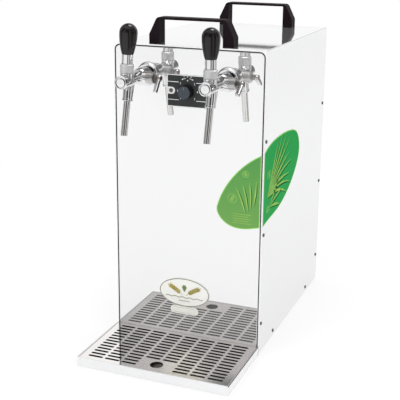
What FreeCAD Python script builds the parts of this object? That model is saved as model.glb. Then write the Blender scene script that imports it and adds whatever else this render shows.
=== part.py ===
# Counter-top draft beer cooler with two compensator taps, a dial thermostat and a drip tray.
# Millimetres. X is right, Y runs from the user to the rear, Z is up, and the table is Z = 0.
# Every shape is drawn from the front panel's face, then moved so that the origin is the middle
# of the footprint.
import FreeCAD
import Part
import math
import os

V = FreeCAD.Vector
X_AXIS = V(1, 0, 0)
Y_AXIS = V(0, 1, 0)
Z_AXIS = V(0, 0, 1)

# Cabinet
cabinet_width = 280.0
cabinet_depth = 403.0
cabinet_top = 545.0
foot_height = 3.5
cover_sheet = 1.2
cover_bend = 3.0
cover_hem = 2.2
cover_edge_round = 2.0
panel_sheet = 1.5
panel_corner = 8.0
panel_edge_round = 1.0
panel_return = 17.0
seam_width = 1.9
seam_setback = 0.5
rear_sheet = 1.2
rear_flange = 18.0
base_sheet = 1.5
base_flange = 22.0
shelf_height = 228.0
shelf_sheet = 1.5
shelf_flange = 14.0

# Screws through the cover
side_screw_inset = 9.5
side_screw_low = 58.5
side_screw_pitch = 166.3
base_screw_rise = 8.5
base_screw_inset = 86.0
screw_shank = 1.75
screw_head = 3.4
screw_head_height = 1.5
screw_length = 7.0
screw_clearance = 0.25
thread_clearance = 0.05

# Rubber feet
foot_radius = 15.0
foot_inset_x = 22.0
foot_inset_y = 40.0
foot_plug = 4.0
foot_barb = 5.5
foot_barb_height = 3.0

# Carrying handles
handle_half_width = 77.2
handle_leg = 19.0
handle_depth = 25.5
handle_height = 45.4
handle_bar = 4.0
handle_chamfer_rise = 16.0
handle_chamfer_run = 14.5
handle_inner_round = 1.5
handle_outer_round = 8.0
handle_edge_round = 1.2
handle_front_setback = 11.5
handle_spacing = 349.5
handle_screw_shank = 3.0
handle_screw_head = 5.2
handle_screw_head_height = 3.5
handle_screw_depth = 10.0

# Rear panel slots and openings
vent_slot_length = 92.0
vent_slot_width = 5.0
vent_pitch_x = 108.0
vent_pitch_z = 11.0
vent_rows = 12
vent_low = 62.0

# Drip tray and its grille
tray_depth = 160.0
tray_height = 17.4
tray_wall = 2.0
tray_floor = 1.2
tray_gap = 0.4
tray_corner = 1.5
grille_gap = 0.8
grille_sheet = 1.2
grille_setdown = 0.4
slot_columns = 8
slot_rows = 13
slot_pitch_x = 31.8
slot_pitch_y = 10.9
slot_length = 27.0
slot_width = 5.0
slot_end_chords = 3
slot_front_margin = 15.5
finger_hole = 11.6
finger_hole_rows = 3

# Badge, blank label and the oval decal round the front right corner
badge_half_width = 48.5
badge_half_height = 27.0
badge_x = -4.0
badge_z = 98.5
badge_thick = 0.8
badge_rim = 1.6
badge_rim_rise = 0.5
label_width = 55.0
label_height = 15.0
label_thick = 0.5
label_gap = 1.0
decal_outline = [
    (-83.5, 272), (-50, 333), (0, 371), (90, 386), (160, 382), (212, 361), (223, 333), (200, 298),
    (150, 268), (90, 251), (0, 241), (-40, 234), (-74, 247),
]
decal_thick = 0.25
decal_edge_gap = 0.6

# Thermostat
dial_z = 468.5
plate_width = 76.0
plate_height = 56.0
plate_thick = 0.8
plate_screw_x = 30.4
dial_knob_radius = 12.0
dial_knob_height = 17.5
dial_knob_gap = 0.5
dial_flutes = 12
dial_flute_radius = 1.3
spindle_radius = 3.0
spindle_in_knob = 9.0
bushing_radius = 4.9
bushing_clearance = 0.2
running_clearance = 0.05
thermostat_width = 44.0
thermostat_depth = 32.0
thermostat_height = 34.0

# Taps: both hang on a shank whose axis is this high and this far from the middle
tap_x = 73.5
tap_z = 494.0
shank_radius = 11.45
shank_bore = 4.0
shank_inside = 42.0
shank_seat = 10.0
shank_hole_clearance = 0.3
nut_across_flats = 32.0
nut_thick = 8.0
rosette_base = 21.0
rosette_rim = 17.6
rosette_depth = 9.0
rosette_wall = 1.6
barrel_radius = 14.6
barrel_gap = 0.6
barrel_front = 36.0
cone_front = 62.0
cone_radius = 9.6
head_y = 84.0
head_radius = 11.3
head_length = 14.0
head_top = 13.5
collar_radius = 11.6
dome_radius = 15.5
dome_mouth = 36.0
ball_radius = 5.5
ball_z = 16.5
ball_clearance = 0.08
lever_stem = 2.5
lever_tip = 2.9
lever_neck = 2.8
lever_pull = 22.0
lever_side_play = 1.1
left_lever_lean = 3.4
ferrule_radius = 9.4
ferrule_gap = 0.3
ferrule_top = 44.2
knob_stud = 4.0
knob_stud_length = 22.0
knob_foot = 9.9
knob_belly = 15.0
knob_belly_z = 79.6
plunger_radius = 6.0
plunger_fit = 0.06
plunger_half = 6.6
plunger_stem = 2.2
tip_clearance = 0.35
seat_front = 62.0
seat_rear = 58.0
seat_hole = 4.6
seal_radius = 7.4
seal_thick = 3.0
seal_nut_radius = 4.0
seal_nut_thick = 3.0
chamber_radius = 9.0
cap_radius = 11.5
cap_front = 108.5
cap_groove = 7.6
cap_groove_width = 1.2
cap_groove_depth = 1.2
cap_boss_rise = 0.5
cap_plug = 5.0
spout_y = 76.0
spout_tilt = 14.0
spout_radius = 5.75
spout_wall = 0.9
spout_spigot = 6.4
spout_end = 92.2
spout_socket = 34.5
spout_insert = 9.0
throat_y = 73.5
throat_half_length = 12.0
throat_half_width = 9.4
throat_foot = 8.3
neck_ring = 9.2
neck_ring_height = 3.6
regulator_y = 38.5
regulator_boss = 10.2
regulator_boss_end = 28.5
regulator_boss_edge = 1.4
regulator_boss_gap = 0.5
regulator_spindle = 3.0
regulator_hub = 4.8
regulator_hub_width = 12.0
regulator_arm = 24.0
regulator_arm_tip = 2.8
regulator_arm_root = 3.3
regulator_arm_setback = 1.0
regulator_arm_width = 6.5
regulator_middle = 50.0
left_regulator_rest = 37.0
right_regulator_rest = 55.0
eccentric_offset = 3.0
eccentric_pin = 1.5
eccentric_depth = 5.0
comp_cone_rear = 30.0
comp_cone_front = 42.5
comp_cone_rim = 4.0
comp_cone_large = 7.6
comp_cone_small = 5.2
pin_clearance = 0.3
guide_clearance = 0.3

# Beer lines and rear fittings
line_radius = 4.75
line_bend = 20.0
line_inlet_z = 290.0
line_front_y = 75.0
coil_front_y = 130.0
coil_rear_gap = 12.0
fitting_radius = 11.0
fitting_out = 22.0
fitting_nut = 14.5
fitting_nut_thick = 5.0
fitting_inside = 14.0
inlet_tube_radius = 4.85
inlet_depth = 18.0
collet_outer = 7.6
collet_length = 7.0
collet_flange = 9.2
collet_flange_thick = 2.2
collet_travel = 1.6
gland_inset = 36.0
gland_z = 34.0
gland_radius = 9.0
gland_bore = 3.9
gland_out = 14.0
gland_inside = 10.0

# Cooling block with its insulation
block_half_width = 92.0
pipe_inset_x = 22.0
pipe_inset_y = 30.0
pipe_socket = 12.0
pipe_end_gap = 1.0
block_low = 270.0
block_high = 382.0
block_front = 120.0
block_setback = 91.0
foam_wall = 32.0

# Compressor, condenser and fan
compressor_inset = 92.0
compressor_y = 112.0
compressor_radius = 58.0
compressor_height = 142.0
compressor_seam = 3.0
stub_offset_x = 28.0
stub_offset_y = 22.0
stub_drop = 20.0
terminal_box_half = 24.0
terminal_box_low = 34.0
terminal_box_high = 78.0
terminal_box_out = 16.0
compressor_plate = 3.0
compressor_plate_half = 66.0
grommet_radius = 9.0
grommet_height = 12.0
condenser_side_gap = 30.0
condenser_height = 172.0
condenser_depth = 44.0
condenser_low = 30.0
condenser_setback = 28.0
condenser_fins = 12
fin_thick = 0.8
fin_setback = 0.3
header_radius = 8.0
condenser_tubes = 6
flat_tube_depth = 20.0
flat_tube_thick = 2.4
shroud_sheet = 1.2
shroud_depth = 26.0
shroud_ring = 10.0
fan_radius = 74.0
fan_tip_gap = 4.0
fan_hub = 17.0
fan_blades = 5
fan_blade_width = 14.0
fan_blade_thick = 1.6
fan_blade_pitch = 14.0
fan_arm = 4.0
fan_bearing = 12.0
fan_end_gap = 1.0
fan_setback = 2.0
motor_radius = 21.0
motor_length = 34.0
motor_shaft = 3.0
drier_radius = 8.0
drier_length = 80.0
drier_low = 66.0
drier_inset = 16.0
drier_y = 200.0
pipe_radius = 3.2
pipe_bend = 12.0
discharge_bend = 8.0
header_socket = 10.0
drier_taper = 8.0
liquid_z = 48.0
discharge_z = 212.0
suction_z = 190.0
capillary_z = 200.0

# Worked out from the values above
cover_half = cabinet_width / 2
inner_half = cover_half - cover_sheet
inner_top = cabinet_top - cover_sheet
hem_half = cover_half - cover_hem
hem_top = cabinet_top - cover_hem
hem_corner = panel_corner + seam_width
panel_half = hem_half - seam_width
panel_top = hem_top - seam_width
regulator_hub_start = regulator_boss_end + regulator_boss_gap
gland_x = cover_half - gland_inset
compressor_x = compressor_inset - cover_half
drier_x = cover_half - drier_inset
condenser_width = cabinet_width - 2 * condenser_side_gap
condenser_rear = cabinet_depth - condenser_setback
block_rear = cabinet_depth - block_setback
coil_rear_y = block_rear - coil_rear_gap
rear_out = fitting_out + collet_flange_thick + collet_travel
front_y = (tray_depth - cabinet_depth - rear_out) / 2


def box(x0, x1, y0, y1, z0, z1):
    """Block between two corners."""
    return Part.makeBox(x1 - x0, y1 - y0, z1 - z0, V(x0, y0, z0))


def rod(radius, start, end):
    """Cylinder from one point to another."""
    return Part.makeCylinder(radius, (end - start).Length, start, end - start)


def outline(steps, place):
    """Closed face: a step is a point (u, v), or a pair of points for an arc through the first."""
    first = steps[0]
    here = first
    edges = []
    for step in list(steps[1:]) + [first]:
        if isinstance(step[0], tuple):
            middle, there = step
            edges.append(Part.Arc(place(*here), place(*middle), place(*there)).toShape())
        else:
            there = step
            if (place(*here) - place(*there)).Length > 1e-6:
                edges.append(Part.LineSegment(place(*here), place(*there)).toShape())
        here = there
    return Part.Face(Part.Wire(edges))


def turned_y(steps):
    """Solid turned about the Y axis from steps of (y, radius)."""
    face = outline(steps, lambda y, r: V(r, y, 0))
    return face.revolve(V(0, 0, 0), Y_AXIS, 360)


def turned_z(steps):
    """Solid turned about the Z axis from steps of (radius, z)."""
    face = outline(steps, lambda r, z: V(r, 0, z))
    return face.revolve(V(0, 0, 0), Z_AXIS, 360)


def moved(shape, x=0.0, y=0.0, z=0.0):
    """Copy of a shape, shifted."""
    return shape.translated(V(x, y, z))


def crown(base, radius, rise):
    """Halfway point of a spherical cap that closes a turned shape on its axis."""
    ball = (radius ** 2 + rise ** 2) / (2 * abs(rise))
    half = math.asin(radius / ball) / 2
    height = ball * math.cos(half) - (ball - abs(rise))
    return base + math.copysign(height, rise), ball * math.sin(half)


def both_sides(shape):
    """A shape and its mirror image across the middle plane."""
    return [shape, shape.mirror(V(0, 0, 0), X_AXIS)]


def arch(half_width, low, high, corner, y0, y1):
    """Upright block with two rounded top corners."""
    bend = corner * (1 - math.sqrt(0.5))
    steps = [
        (-half_width, low),
        (-half_width, high - corner),
        ((-half_width + bend, high - bend), (-half_width + corner, high)),
        (half_width - corner, high),
        ((half_width - bend, high - bend), (half_width, high - corner)),
        (half_width, low),
    ]
    return outline(steps, lambda x, z: V(x, y0, z)).extrude(V(0, y1 - y0, 0))


def slot_prism(length, width, chords, depth):
    """Long slot with rounded ends, along X, centred on the origin and cut down Z."""
    run = length / 2 - width / 2
    points = []
    for side in (1, -1):
        for i in range(chords + 1):
            turn = math.radians(90 - 180.0 * i / chords)
            points.append((side * (run + width / 2 * math.cos(turn)), side * width / 2 * math.sin(turn)))
    face = outline(points, lambda x, y: V(x, y, -depth / 2))
    return face.extrude(V(0, 0, depth))


def tube_run(points, radius, bend):
    """Round bar along straight runs joined by tangent arcs of one bend radius."""
    edges = []
    here = points[0]
    for i in range(1, len(points) - 1):
        corner = points[i]
        back = (points[i - 1] - corner).normalize()
        ahead = (points[i + 1] - corner).normalize()
        half = back.getAngle(ahead) / 2
        reach = bend / math.tan(half)
        start = corner + back * reach
        end = corner + ahead * reach
        inward = (back + ahead).normalize()
        middle = corner + inward * (bend / math.sin(half) - bend)
        if (start - here).Length > 1e-6:
            edges.append(Part.LineSegment(here, start).toShape())
        edges.append(Part.Arc(start, middle, end).toShape())
        here = end
    edges.append(Part.LineSegment(here, points[-1]).toShape())
    path = Part.Wire(edges)
    section = Part.Wire(Part.makeCircle(radius, points[0], points[1] - points[0]))
    return path.makePipeShell([section], True, False)


def side_screw_spots():
    """Places (y, z) of the screws on one side of the cover."""
    spots = []
    for y in (side_screw_inset, cabinet_depth - side_screw_inset):
        for row in range(3):
            spots.append((y, side_screw_low + row * side_screw_pitch))
    for y in (base_screw_inset, cabinet_depth - base_screw_inset):
        spots.append((y, foot_height + base_screw_rise))
    return spots


def side_bores(radius, x0, x1):
    """Bores for the side screws, on both sides."""
    bores = []
    for y, z in side_screw_spots():
        bores += both_sides(rod(radius, V(x0, y, z), V(x1, y, z)))
    return bores


def handle_screw_spots():
    """Places (x, y) of the screws that hold the handles."""
    spots = []
    for front in (handle_front_setback, handle_front_setback + handle_spacing):
        for x in (-1, 1):
            spots.append((x * (handle_half_width - handle_leg / 2), front + handle_depth / 2))
    return spots


def vent_spots():
    """Places (x, z) of the slots in the rear panel."""
    spots = []
    for column in (-1, 1):
        for row in range(vent_rows):
            spots.append((column * vent_pitch_x / 2, vent_low + row * vent_pitch_z))
    return spots


# Cabinet sheets
def front_rim(shell):
    """Edges round the front face of an arch, without the one at its foot."""
    rim = []
    for edge in shell.Edges:
        middle = edge.valueAt((edge.FirstParameter + edge.LastParameter) / 2)
        if abs(edge.BoundBox.YMax) < 1e-6 and middle.z > foot_height + 1:
            rim.append(edge)
    return rim


def make_outer_cover():
    """Sheet wrapped over the sides and top, with a rounded hem at the front."""
    shell = arch(cover_half, foot_height, cabinet_top, cover_bend, 0, cabinet_depth)
    shell = shell.makeFillet(cover_edge_round, front_rim(shell))
    mouth = arch(hem_half, foot_height - 1, hem_top, hem_corner, -1, panel_return + 1)
    hollow = arch(inner_half, foot_height - 1, inner_top, cover_bend - cover_sheet,
                  panel_return, cabinet_depth + 1)
    cuts = [mouth, hollow] + side_bores(screw_shank + screw_clearance, hem_half - 1, cover_half + 1)
    for x, y in handle_screw_spots():
        hole = handle_screw_shank + screw_clearance
        cuts.append(rod(hole, V(x, y, inner_top - 1), V(x, y, cabinet_top + 1)))
    return shell.cut(cuts)


def make_front_panel():
    shell = arch(panel_half, foot_height, panel_top, panel_corner, 0, panel_return)
    shell = shell.makeFillet(panel_edge_round, front_rim(shell))
    hollow = arch(panel_half - panel_sheet, foot_height - 1, panel_top - panel_sheet,
                  panel_corner - panel_sheet, panel_sheet, panel_return + 1)
    cuts = [hollow] + side_bores(screw_shank + thread_clearance, panel_half - panel_sheet - 1, panel_half + 1)
    for x in (-tap_x, tap_x):
        cuts.append(rod(shank_radius + shank_hole_clearance, V(x, -1, tap_z), V(x, panel_sheet + 1, tap_z)))
    cuts.append(rod(bushing_radius + bushing_clearance, V(0, -1, dial_z), V(0, panel_sheet + 1, dial_z)))
    for x in (-plate_screw_x, plate_screw_x):
        cuts.append(rod(screw_shank + thread_clearance, V(x, -1, dial_z), V(x, panel_sheet + 1, dial_z)))
    return shell.cut(cuts)


def make_edge_gasket():
    band = arch(hem_half, foot_height, hem_top, hem_corner, seam_setback, panel_return)
    hollow = arch(panel_half, foot_height - 1, panel_top, panel_corner, seam_setback - 1, panel_return + 1)
    bores = side_bores(screw_shank + screw_clearance, panel_half - 1, hem_half + 1)
    return band.cut([hollow] + bores)


def make_rear_panel():
    corner = cover_bend - cover_sheet
    rear = cabinet_depth
    shell = arch(inner_half, foot_height, inner_top, corner, rear - rear_flange, rear)
    hollow = arch(inner_half - rear_sheet, foot_height - 1, inner_top - rear_sheet,
                  corner - rear_sheet, rear - rear_flange - 1, rear - rear_sheet)
    cuts = [hollow] + side_bores(screw_shank + thread_clearance, inner_half - rear_sheet - 1, inner_half + 1)
    vent = slot_prism(vent_slot_length, vent_slot_width, slot_end_chords, 4 * rear_sheet)
    vent.rotate(V(0, 0, 0), X_AXIS, 90)
    for x, z in vent_spots():
        cuts.append(moved(vent, x, rear - rear_sheet / 2, z))
    for x in (-tap_x, tap_x):
        hole = fitting_radius + screw_clearance
        cuts.append(rod(hole, V(x, rear - 3, line_inlet_z), V(x, rear + 1, line_inlet_z)))
    cuts.append(rod(gland_radius - 2, V(gland_x, rear - 3, gland_z), V(gland_x, rear + 1, gland_z)))
    return shell.cut(cuts)


def foot_spots():
    """Places (x, y) of the four feet."""
    spots = []
    for x in (-1, 1):
        for y in (foot_inset_y, cabinet_depth - foot_inset_y):
            spots.append((x * (cover_half - foot_inset_x), y))
    return spots


def grommet_spots():
    """Places (x, y) of the compressor's rubber mounts."""
    reach = compressor_plate_half - grommet_radius - 3
    spots = []
    for x in (-1, 1):
        for y in (-1, 1):
            spots.append((compressor_x + x * reach, compressor_y + y * reach))
    return spots


def make_base_pan():
    front = panel_return + seam_setback
    rear = cabinet_depth - rear_flange - seam_setback
    low = foot_height
    floor = box(-inner_half, inner_half, front, rear, low, low + base_sheet)
    lip_half = panel_half - panel_sheet - seam_setback
    floor = floor.fuse(box(-lip_half, lip_half, panel_sheet, front, low, low + base_sheet))
    rear_half = inner_half - rear_sheet - seam_setback
    floor = floor.fuse(box(-rear_half, rear_half, rear, cabinet_depth - rear_sheet, low, low + base_sheet))
    walls = []
    for side in both_sides(box(inner_half - base_sheet, inner_half, front, rear, low, low + base_flange)):
        walls.append(side)
    pan = floor.fuse(walls).removeSplitter()
    cuts = []
    for y, z in side_screw_spots()[-2:]:
        bore = rod(screw_shank + thread_clearance,
                   V(inner_half - base_sheet - 1, y, z), V(inner_half + 1, y, z))
        cuts += both_sides(bore)
    for x, y in foot_spots():
        cuts.append(rod(foot_plug, V(x, y, low - 1), V(x, y, low + base_sheet + 1)))
    return pan.cut(cuts)


def make_feet():
    foot = turned_z([
        (0, 0), (foot_radius - 1, 0), (foot_radius, 1), (foot_radius, foot_height),
        (foot_plug, foot_height), (foot_plug, foot_height + base_sheet),
        (foot_barb, foot_height + base_sheet),
        (foot_plug - 1, foot_height + base_sheet + foot_barb_height),
        (0, foot_height + base_sheet + foot_barb_height),
    ])
    return Part.makeCompound([moved(foot, x, y) for x, y in foot_spots()])


def make_shelf():
    front = panel_return + seam_setback
    rear = cabinet_depth - rear_flange - seam_setback
    top = shelf_height
    half = inner_half
    plate = box(-half, half, front, rear, top - shelf_sheet, top)
    walls = both_sides(box(half - shelf_sheet, half, front, rear, top - shelf_flange, top))
    shelf = plate.fuse(walls).removeSplitter()
    hole = rod(3 * pipe_radius, V(suction_x(), pipe_y(), top - 5), V(suction_x(), pipe_y(), top + 1))
    return shelf.cut([hole, hole.mirror(V(0, 0, 0), X_AXIS)])


def make_side_screws():
    screws = []
    for y, z in side_screw_spots():
        head = turned_y([
            (0, 0), (0, screw_head), (-screw_head_height / 2, screw_head),
            (-screw_head_height, screw_head - 1.2), (-screw_head_height, 0),
        ])
        shank = rod(screw_shank, V(0, 0, 0), V(0, screw_length, 0))
        screw = head.fuse(shank).removeSplitter()
        screw.rotate(V(0, 0, 0), Z_AXIS, 90)
        screws += both_sides(moved(screw, cover_half, y, z))
    return Part.makeCompound(screws)


# Carrying handles
def make_handle(front):
    half = handle_half_width
    top = handle_height
    inner = half - handle_leg
    body = outline([
        (-half, 0), (-half, handle_chamfer_rise), (-half + handle_chamfer_run, top),
        (half - handle_chamfer_run, top), (half, handle_chamfer_rise), (half, 0),
    ], lambda x, z: V(x, front, cabinet_top + z)).extrude(V(0, handle_depth, 0))
    shoulders = []
    for edge in body.Edges:
        if edge.BoundBox.YLength > 1 and edge.BoundBox.ZMin > cabinet_top + top - 1:
            shoulders.append(edge)
    body = body.makeFillet(handle_outer_round, shoulders)
    rims = []
    for edge in body.Edges:
        flat = edge.BoundBox.YLength < 1e-6
        if flat and edge.BoundBox.ZMax > cabinet_top + 1:
            rims.append(edge)
    body = body.makeFillet(handle_edge_round, rims)
    opening = arch(inner, cabinet_top - 1, cabinet_top + top - handle_bar, handle_inner_round,
                   front - 1, front + handle_depth + 1)
    cuts = [opening]
    for x, y in handle_screw_spots():
        cuts.append(rod(handle_screw_shank + thread_clearance, V(x, y, cabinet_top - 1),
                        V(x, y, cabinet_top + handle_screw_depth + 1)))
    return body.cut(cuts)


def make_handle_screws():
    screw = turned_z([
        (0, inner_top - handle_screw_head_height), (handle_screw_head, inner_top - handle_screw_head_height),
        (handle_screw_head, inner_top), (handle_screw_shank, inner_top),
        (handle_screw_shank, cabinet_top + handle_screw_depth), (0, cabinet_top + handle_screw_depth),
    ])
    return Part.makeCompound([moved(screw, x, y) for x, y in handle_screw_spots()])


# Badge, label and decal
def ellipse_prism(half_width, half_height, depth):
    """Upright elliptical disc in front of the panel, centred on the origin."""
    curve = Part.Ellipse(V(0, 0, 0), half_width, half_height).toShape()
    face = Part.Face(Part.Wire(curve))
    face.rotate(V(0, 0, 0), X_AXIS, 90)
    return face.extrude(V(0, -depth, 0))


def make_badge():
    plate = ellipse_prism(badge_half_width, badge_half_height, badge_thick)
    rim = ellipse_prism(badge_half_width, badge_half_height, badge_thick + badge_rim_rise)
    well = ellipse_prism(badge_half_width - badge_rim, badge_half_height - badge_rim,
                         badge_thick + 2 * badge_rim_rise)
    return moved(plate.fuse(rim.cut(well)).removeSplitter(), badge_x, 0, badge_z)


def make_label_strip():
    strip = slot_prism(label_width, label_height, 6, label_thick)
    strip.rotate(V(0, 0, 0), X_AXIS, 90)
    low = badge_z - badge_half_height - label_gap - label_height / 2
    return moved(strip, badge_x, -label_thick / 2, low)


def decal_shape():
    """The rounded patch laid flat in the XZ plane, with the cabinet's corner at X = 0."""
    curve = Part.BSplineCurve()
    curve.interpolate([V(s, 0, z) for s, z in decal_outline], PeriodicFlag=True)
    return Part.Face(Part.Wire(curve.toShape())).extrude(V(0, -decal_thick, 0))


def make_decal_front():
    patch = moved(decal_shape(), cover_half)
    edge = panel_half - panel_edge_round
    return patch.common(box(0, edge, -1, 1, 0, cabinet_top))


def make_decal_side():
    front = cover_edge_round + decal_edge_gap
    patch = decal_shape().common(box(front, cabinet_depth, -1, 1, 0, cabinet_top))
    patch.rotate(V(0, 0, 0), Z_AXIS, 90)
    return moved(patch, cover_half)


# Thermostat
def make_thermostat_plate():
    plate = box(-plate_width / 2, plate_width / 2, -plate_thick, 0,
                dial_z - plate_height / 2, dial_z + plate_height / 2)
    cuts = [rod(bushing_radius + bushing_clearance, V(0, -2, dial_z), V(0, 1, dial_z))]
    for x in (-plate_screw_x, plate_screw_x):
        cuts.append(rod(screw_shank + screw_clearance, V(x, -2, dial_z), V(x, 1, dial_z)))
    return plate.cut(cuts)


def make_plate_screws():
    screw = turned_y([
        (screw_length, 0), (screw_length, screw_shank), (-plate_thick, screw_shank),
        (-plate_thick, screw_head), (-plate_thick - screw_head_height / 2, screw_head),
        (-plate_thick - screw_head_height, screw_head - 1.2), (-plate_thick - screw_head_height, 0),
    ])
    return Part.makeCompound([moved(screw, x, 0, dial_z) for x in (-plate_screw_x, plate_screw_x)])


def make_thermostat_body():
    rear = panel_sheet
    body = box(-thermostat_width / 2, thermostat_width / 2, rear, rear + thermostat_depth,
               dial_z - thermostat_height / 2, dial_z + thermostat_height / 2)
    bushing = rod(bushing_radius, V(0, -plate_thick, dial_z), V(0, rear + 1, dial_z))
    bore = rod(spindle_radius + running_clearance, V(0, -plate_thick - 1, dial_z),
               V(0, rear + spindle_in_knob, dial_z))
    relief = []
    for x in (-plate_screw_x, plate_screw_x):
        relief.append(rod(screw_shank + 1, V(x, 0, dial_z), V(x, screw_length + 1, dial_z)))
    return body.fuse(bushing).removeSplitter().cut([bore] + relief)


def make_dial_spindle():
    start = -plate_thick - dial_knob_gap - spindle_in_knob
    return rod(spindle_radius, V(0, start, dial_z), V(0, panel_sheet + spindle_in_knob - 1, dial_z))


def make_dial_knob():
    rear = -plate_thick - dial_knob_gap
    front = rear - dial_knob_height
    knob = turned_y([
        (rear, 0), (rear, dial_knob_radius), (front + 1.2, dial_knob_radius - 0.8),
        (front, dial_knob_radius - 2), (front, 0),
    ])
    cuts = [rod(spindle_radius, V(0, rear - spindle_in_knob, 0), V(0, 1, 0))]
    for i in range(dial_flutes):
        turn = 2 * math.pi * (i + 0.5) / dial_flutes
        x = (dial_knob_radius + 0.6) * math.sin(turn)
        z = (dial_knob_radius + 0.6) * math.cos(turn)
        cuts.append(rod(dial_flute_radius, V(x, front - 1, z), V(x, rear - 3, z)))
    pointer = box(-0.6, 0.6, front - 1, front + 0.5, 1.5, dial_knob_radius)
    return moved(knob.cut(cuts + [pointer]), 0, 0, dial_z)


# Tap pieces, drawn with the shank's axis along Y through the origin
def spout_point(distance):
    """Point on the spout's axis, this far below the tap's own axis."""
    tilt = math.radians(spout_tilt)
    return V(0, -spout_y - distance * math.sin(tilt), -distance * math.cos(tilt))


def along_spout(shape):
    """Shape turned about Z, laid on the spout's axis with its Z pointing up the axis."""
    shape.rotate(V(0, 0, 0), X_AXIS, -spout_tilt)
    return moved(shape, 0, -spout_y, 0)


def make_tap_rosette():
    return turned_y([
        (0, shank_radius + shank_hole_clearance), (0, rosette_base), (-1.5, rosette_base),
        ((-5, rosette_base - 1.4), (-rosette_depth + 1, rosette_rim)),
        (-rosette_depth, rosette_rim - 0.5), (-rosette_depth, rosette_rim - rosette_wall),
        (-rosette_wall, rosette_rim - rosette_wall), (-rosette_wall, shank_radius + shank_hole_clearance),
    ])


def make_tap_shank():
    seat = -rosette_wall - barrel_gap - shank_seat
    tube = rod(shank_radius, V(0, seat, 0), V(0, panel_sheet + nut_thick + 6, 0))
    tail = rod(line_radius + 2.5, V(0, 0, 0), V(0, shank_inside, 0))
    bore = rod(shank_bore, V(0, seat - 1, 0), V(0, shank_inside + 1, 0))
    socket = rod(line_radius, V(0, shank_inside - 8, 0), V(0, shank_inside + 1, 0))
    return tube.fuse(tail).removeSplitter().cut([bore, socket])


def make_shank_nut():
    corner = nut_across_flats / 2 / math.cos(math.pi / 6)
    points = []
    for i in range(6):
        turn = math.radians(60 * i + 30)
        points.append((corner * math.sin(turn), corner * math.cos(turn)))
    nut = outline(points, lambda x, z: V(x, panel_sheet, z)).extrude(V(0, nut_thick, 0))
    return nut.cut(rod(shank_radius, V(0, 0, 0), V(0, panel_sheet + nut_thick + 1, 0)))


def make_throat(ring_top):
    """Throat that narrows from an oval on the tap's body to the spout's ring."""
    oval = Part.Ellipse(V(0, 0, 0), throat_half_length, throat_half_width).toShape()
    upper = Part.Wire(oval)
    upper.rotate(V(0, 0, 0), Z_AXIS, 90)
    upper = moved(upper, 0, -throat_y, 0)
    lower = Part.Wire(Part.makeCircle(throat_foot, V(0, 0, 0), Z_AXIS))
    lower.rotate(V(0, 0, 0), Z_AXIS, 90)
    lower = along_spout(moved(lower, 0, 0, ring_top - 0.5))
    return Part.makeLoft([upper, lower], True, True)


def make_regulator_boss():
    """Round boss on the barrel's side that carries the flow lever's spindle."""
    boss = turned_z([
        (0, 0), (regulator_boss, 0), (regulator_boss, regulator_boss_end - regulator_boss_edge),
        (regulator_boss - regulator_boss_edge, regulator_boss_end), (0, regulator_boss_end),
    ])
    boss.rotate(V(0, 0, 0), Y_AXIS, 90)
    return moved(boss, 0, -regulator_y)


def make_tap_body():
    rear = -rosette_wall - barrel_gap
    barrel = turned_y([
        (rear, 0), (rear, barrel_radius - 1), (rear - 1, barrel_radius),
        (-barrel_front + 3, barrel_radius),
        ((-barrel_front, barrel_radius - 0.7), (-barrel_front - 3, barrel_radius - 2)),
        (-cone_front, cone_radius), (-head_y + head_length - 4, cone_radius), (-head_y + head_length - 4, 0),
    ])
    head = turned_y([
        (-head_y + head_length + 2, 0), (-head_y + head_length + 2, cone_radius - 1),
        (-head_y + head_length - 3, head_radius), (-head_y - head_length, head_radius),
        (-head_y - head_length, 0),
    ])
    dome = turned_z([
        (0, -head_radius), ((head_radius * math.sqrt(0.5), -head_radius * math.sqrt(0.5)), (head_radius, 0)),
        (head_radius, head_top), (0, head_top),
    ])
    ring_top = -spout_socket + neck_ring_height
    neck = along_spout(turned_z([
        (0, -spout_socket), (neck_ring - 0.5, -spout_socket), (neck_ring, -spout_socket + 0.5),
        (neck_ring, ring_top - 0.5), (neck_ring - 0.5, ring_top), (0, ring_top),
    ]))
    neck = neck.fuse(make_throat(ring_top))
    boss = make_regulator_boss()
    body = barrel.fuse([head, moved(dome, 0, -head_y), neck, boss]).removeSplitter()
    seat = rear - shank_seat
    cuts = [
        rod(shank_radius, V(0, 1, 0), V(0, seat, 0)),
        rod(chamber_radius, V(0, seat + 1, 0), V(0, -seat_rear, 0)),
        rod(seat_hole, V(0, -seat_rear + 1, 0), V(0, -seat_front - 1, 0)),
        rod(plunger_radius + plunger_fit, V(0, -seat_front, 0), V(0, -head_y - head_length - 1, 0)),
        rod(regulator_spindle + running_clearance,
            V(0, -regulator_y, 0), V(regulator_boss_end + 1, -regulator_y, 0)),
        rod(spout_radius - spout_wall, spout_point(0), spout_point(spout_socket)),
        rod(spout_spigot, spout_point(spout_socket - spout_insert), spout_point(spout_socket + 1)),
        Part.makeSphere(ball_radius + ball_clearance, V(0, -head_y, ball_z)),
    ]
    sweep = (ball_z - plunger_radius) * math.tan(math.radians(lever_pull))
    stem = (lever_stem + tip_clearance) / math.cos(math.radians(lever_pull))
    wide = lever_stem + tip_clearance + lever_side_play
    cuts.append(box(-wide, wide,
                    -head_y - stem, -head_y + sweep + stem + tip_clearance, 0, head_top + 1))
    return body.cut(cuts)


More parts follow.
